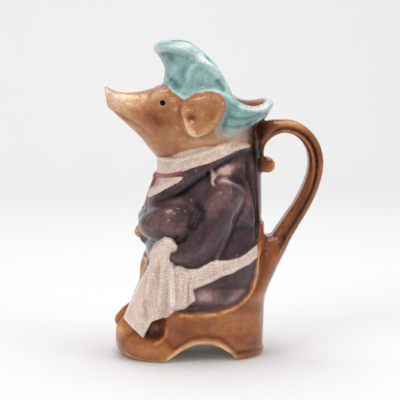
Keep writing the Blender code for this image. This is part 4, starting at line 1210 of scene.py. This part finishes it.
def merge_doubles(mesh):
    """Merges points that ran together, so that no face without area is left."""
    work = bmesh.new()
    work.from_mesh(mesh)
    bmesh.ops.remove_doubles(work, verts=work.verts, dist=DOUBLES)
    work.to_mesh(mesh)
    work.free()
    mesh.validate()


class Graph:
    """Short ways to add shader nodes."""

    def __init__(self, tree):
        self.tree = tree

    def add(self, kind, inputs=None, **settings):
        node = self.tree.nodes.new(kind)
        for name, value in settings.items():
            setattr(node, name, value)
        for name, value in (inputs or {}).items():
            socket = node.inputs[name]
            if isinstance(value, bpy.types.NodeSocket):
                self.tree.links.new(value, socket)
            else:
                socket.default_value = value
        return node

    def attribute(self, name):
        return self.add("ShaderNodeAttribute", attribute_name=name).outputs["Fac"]

    def math(self, operation, a, b=0.0, c=0.0):
        return self.add("ShaderNodeMath", {0: a, 1: b, 2: c}, operation=operation).outputs[0]

    def plus(self, a, b):
        return self.math("ADD", a, b)

    def minus(self, a, b):
        return self.math("SUBTRACT", a, b)

    def times(self, a, b):
        return self.math("MULTIPLY", a, b)

    def step(self, value, low, high, to_low=0.0, to_high=1.0):
        inputs = {"Value": value, "From Min": low, "From Max": high, "To Min": to_low, "To Max": to_high}
        return self.add("ShaderNodeMapRange", inputs, interpolation_type="SMOOTHSTEP").outputs[0]

    def mix(self, share, a, b):
        node = self.add("ShaderNodeMix", {0: share, 6: a, 7: b}, data_type="RGBA")
        return node.outputs[2]

    def noise(self, place, scale, detail=3.0, rough=0.55):
        inputs = {"Vector": place, "Scale": scale, "Detail": detail, "Roughness": rough}
        return self.minus(self.add("ShaderNodeTexNoise", inputs).outputs["Fac"], 0.5)

    def ramp(self, value, stops):
        node = self.add("ShaderNodeValToRGB", {"Fac": value})
        elements = node.color_ramp.elements
        while len(elements) < len(stops):
            elements.new(0.5)
        for element, (place, *color) in zip(elements, stops):
            element.position = place
            element.color = srgb(*color)
        return node.outputs["Color"]


def glaze_material():
    material = bpy.data.materials.new("majolica_glazes")
    material.use_nodes = True
    tree = material.node_tree
    tree.nodes.clear()
    g = Graph(tree)
    # Place on the object in carving units
    place = g.add("ShaderNodeTexCoord").outputs["Object"]
    place = g.add("ShaderNodeVectorMath", {0: place, 3: 1.0 / CARVING}, operation="SCALE").outputs[0]
    clouds = g.noise(place, 0.07, 4.0, 0.6)
    mottle = g.noise(place, 0.32, 4.0, 0.6)
    grain = g.noise(place, 1.6, 2.0, 0.6)
    # How thin the glaze lies, with the painted light and shade added to it
    thin = g.attribute("thin")
    level = g.plus(thin, g.times(clouds, 1.5))
    level = g.plus(level, mottle)
    level = g.plus(level, g.times(grain, 0.25))
    shade = g.math("MULTIPLY_ADD", level, 0.25, 0.5)

    glazes = {name: g.ramp(shade, stops) for name, stops in COLOURS.items()}
    edge = g.times(mottle, 1.2)
    color = glazes["jacket"]
    masks = {}
    total = g.step(g.plus(g.attribute("near_jacket"), edge), -0.5, 0.5, 0.001, 1.0)
    for name, soft in SOFT_EDGES:
        gap = g.plus(g.attribute("near_" + name), edge)
        masks[name] = g.step(gap, -soft, soft)
        total = g.plus(total, masks[name])
        color = g.mix(g.math("DIVIDE", masks[name], total), color, glazes[name])

    # Dark specks where the glaze crawled, and crackle in the pale glazes
    specks = g.step(g.noise(place, 0.75, 2.0, 0.5), 0.05, 0.16)
    specks = g.times(specks, g.step(g.noise(place, 0.09), -0.06, 0.12, 0.1, 1.0))
    specks = g.times(specks, g.math("MULTIPLY_ADD", masks["cap"], 0.5, masks["skin"]))
    color = g.mix(g.times(specks, 0.32), color, srgb(92, 62, 44))
    crackle = g.add("ShaderNodeTexVoronoi", {"Vector": place, "Scale": 0.46}, feature="DISTANCE_TO_EDGE")
    lines = g.step(crackle.outputs["Distance"], 0.02, 0.12, 1.0, 0.0)
    pale = g.plus(masks["skin"], g.math("MULTIPLY_ADD", masks["cap"], 0.6, masks["cloth"]))
    pale = g.times(pale, g.step(g.noise(place, 0.05), -0.16, 0.12, 0.15, 1.0))
    crazing = g.times(g.times(lines, pale), 0.42)
    color = g.mix(crazing, color, srgb(112, 74, 50))

    # Woven dots of the cloths
    weave = g.add("ShaderNodeTexVoronoi", {"Vector": place, "Scale": 0.85, "Randomness": 0.45}, feature="F1")
    pits = g.step(weave.outputs["Distance"], 0.16, 0.42, 1.0, 0.0)
    pits = g.times(pits, masks["cloth"])
    color = g.mix(g.times(pits, 0.55), color, srgb(118, 88, 74))

    # Eyes: a dark pupil in a pale ring
    fold = g.add("ShaderNodeVectorMath", {0: place}, operation="ABSOLUTE").outputs[0]
    split = g.add("ShaderNodeSeparateXYZ", {0: place})
    side = g.add("ShaderNodeSeparateXYZ", {0: fold})
    flat = g.add("ShaderNodeCombineXYZ", {0: g.minus(split.outputs[0], EYE[0] + MIDDLE),
                                          1: 0.0,
                                          2: g.minus(split.outputs[2], EYE[1])}).outputs[0]
    off = g.add("ShaderNodeVectorMath", {0: flat}, operation="LENGTH").outputs["Value"]
    here = g.step(side.outputs[1], 12.0, 14.0)
    ring = g.times(g.step(off, 2.5, 3.1, 1.0, 0.0), here)
    pupil = g.times(g.step(off, PUPIL, PUPIL + 0.4, 1.0, 0.0), here)
    color = g.mix(g.times(ring, 0.12), color, srgb(232, 208, 178))
    color = g.mix(pupil, color, srgb(18, 13, 12))

    # Bare clay under the feet
    foot = g.step(split.outputs[2], 0.15, 0.5, 1.0, 0.0)
    color = g.mix(foot, color, srgb(206, 188, 164))

    height = g.plus(g.times(g.noise(place, 0.16, 3.0), 0.5), g.times(mottle, 0.10))
    height = g.minus(height, g.times(pits, 0.16))
    height = g.minus(height, g.times(crazing, 0.05))
    bump = g.add("ShaderNodeBump", {"Height": height, "Strength": 0.9, "Distance": CARVING * 0.55})
    rough = g.plus(g.step(masks["cloth"], 0.0, 1.0, 0.07, 0.26), g.times(foot, 0.6))
    # Hollows where the glaze pooled dark, and places painted dark as shade, mirror little of the room
    shine = g.times(g.step(pupil, 0.0, 1.0, 1.0, 0.1), g.step(shade, 0.0, 0.36, 0.08, 0.5))
    shader = g.add("ShaderNodeBsdfPrincipled", {"Base Color": color, "Roughness": rough, "IOR": 1.52,
                                                "Normal": bump.outputs[0],
                                                "Specular IOR Level": shine})
    g.add("ShaderNodeOutputMaterial", {"Surface": shader.outputs[0]})
    return material


def plain_material(name, color, rough):
    material = bpy.data.materials.new(name)
    material.use_nodes = True
    shader = material.node_tree.nodes["Principled BSDF"]
    shader.inputs["Base Color"].default_value = color
    shader.inputs["Roughness"].default_value = rough
    return material


def sweep():
    """A white paper sweep: the table, a wide curve and the wall behind."""
    depth, rise, radius, half = 1.25, 2.6, 0.4, 3.5
    profile = [(-3.0, 0.0), (depth - radius, 0.0)]
    profile += [(depth - radius + radius * math.sin(a), radius - radius * math.cos(a))
                for a in (math.pi / 2 * i / 24 for i in range(1, 25))]
    profile.append((depth, rise))
    points = [(x, y, z) for x in (-half, half) for y, z in profile]
    count = len(profile)
    faces = [(i, i + count, i + count + 1, i + 1) for i in range(count - 1)]
    mesh = bpy.data.meshes.new("paper_sweep")
    mesh.from_pydata(points, [], faces)
    mesh.shade_smooth()
    mesh.materials.append(plain_material("white_paper", (0.765, 0.765, 0.765, 1), 0.9))
    placed("paper_sweep", mesh)


def lamp(name, place, target, size, power, mirrored=True):
    light = bpy.data.lights.new(name, "AREA")
    light.shape = "RECTANGLE"
    light.size, light.size_y = size
    light.energy = power
    holder = placed(name, light)
    holder.location = place
    holder.rotation_euler = (Vector(place) - Vector(target)).to_track_quat("Z", "Y").to_euler()
    holder.visible_glossy = mirrored


def studio():
    sweep()
    lamp("softbox_left", (-0.95, -0.75, 0.75), (0, 0, 0.12), (0.7, 0.9), 7, mirrored=False)
    lamp("softbox_right", (1.0, -0.6, 0.6), (0, 0, 0.12), (0.5, 0.9), 4, mirrored=False)
    lamp("softbox_top", (0.05, 0.1, 1.15), (0, 0, 0.1), (0.9, 0.7), 8)
    lamp("wall_light", (0, 0.55, 0.95), (0, 1.2, 0.0), (2.0, 0.3), 3.3, mirrored=False)
    lamp("window_left", (-0.62, -0.95, 0.95), (0, 0, 0.14), (0.16, 0.24), 0.7)
    lamp("window_right", (0.75, -0.75, 0.8), (0, 0, 0.14), (0.1, 0.3), 0.4)
    world = bpy.data.worlds.new("white_room")
    bpy.context.scene.world = world
    world.use_nodes = True
    back = world.node_tree.nodes["Background"]
    back.inputs["Color"].default_value = (1, 1, 1, 1)
    back.inputs["Strength"].default_value = 0.42


def camera():
    """Stands where the photo's camera is judged to have stood, from the pitcher's outline."""
    turn = math.radians(CAMERA_TURN)
    middle = Vector((MIDDLE * CARVING, 0, 0))
    place = middle + Vector((math.sin(turn) * CAMERA_AWAY, -math.cos(turn) * CAMERA_AWAY, CAMERA_HEIGHT))
    aim = middle + Vector((math.cos(turn) * AIM_ALONG, math.sin(turn) * AIM_ALONG, AIM_HEIGHT))
    lens = bpy.data.cameras.new("camera")
    lens.sensor_width = SENSOR
    lens.lens = SENSOR * CAMERA_AWAY / VIEW_WIDTH
    lens.clip_start = 0.05
    holder = placed("camera", lens)
    holder.location = place
    holder.rotation_euler = (place - aim).to_track_quat("Z", "Y").to_euler()
    bpy.context.scene.camera = holder


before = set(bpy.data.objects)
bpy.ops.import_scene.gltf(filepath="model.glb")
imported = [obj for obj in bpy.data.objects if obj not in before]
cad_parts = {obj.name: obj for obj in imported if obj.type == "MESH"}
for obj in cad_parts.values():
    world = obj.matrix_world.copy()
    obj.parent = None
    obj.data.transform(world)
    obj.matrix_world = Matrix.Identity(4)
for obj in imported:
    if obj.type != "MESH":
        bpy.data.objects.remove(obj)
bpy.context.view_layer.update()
pitcher = make_pitcher()
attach(pitcher, "root")
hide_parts("pig_pitcher")
studio()
camera()
bpy.context.scene.view_settings.view_transform = "Standard"
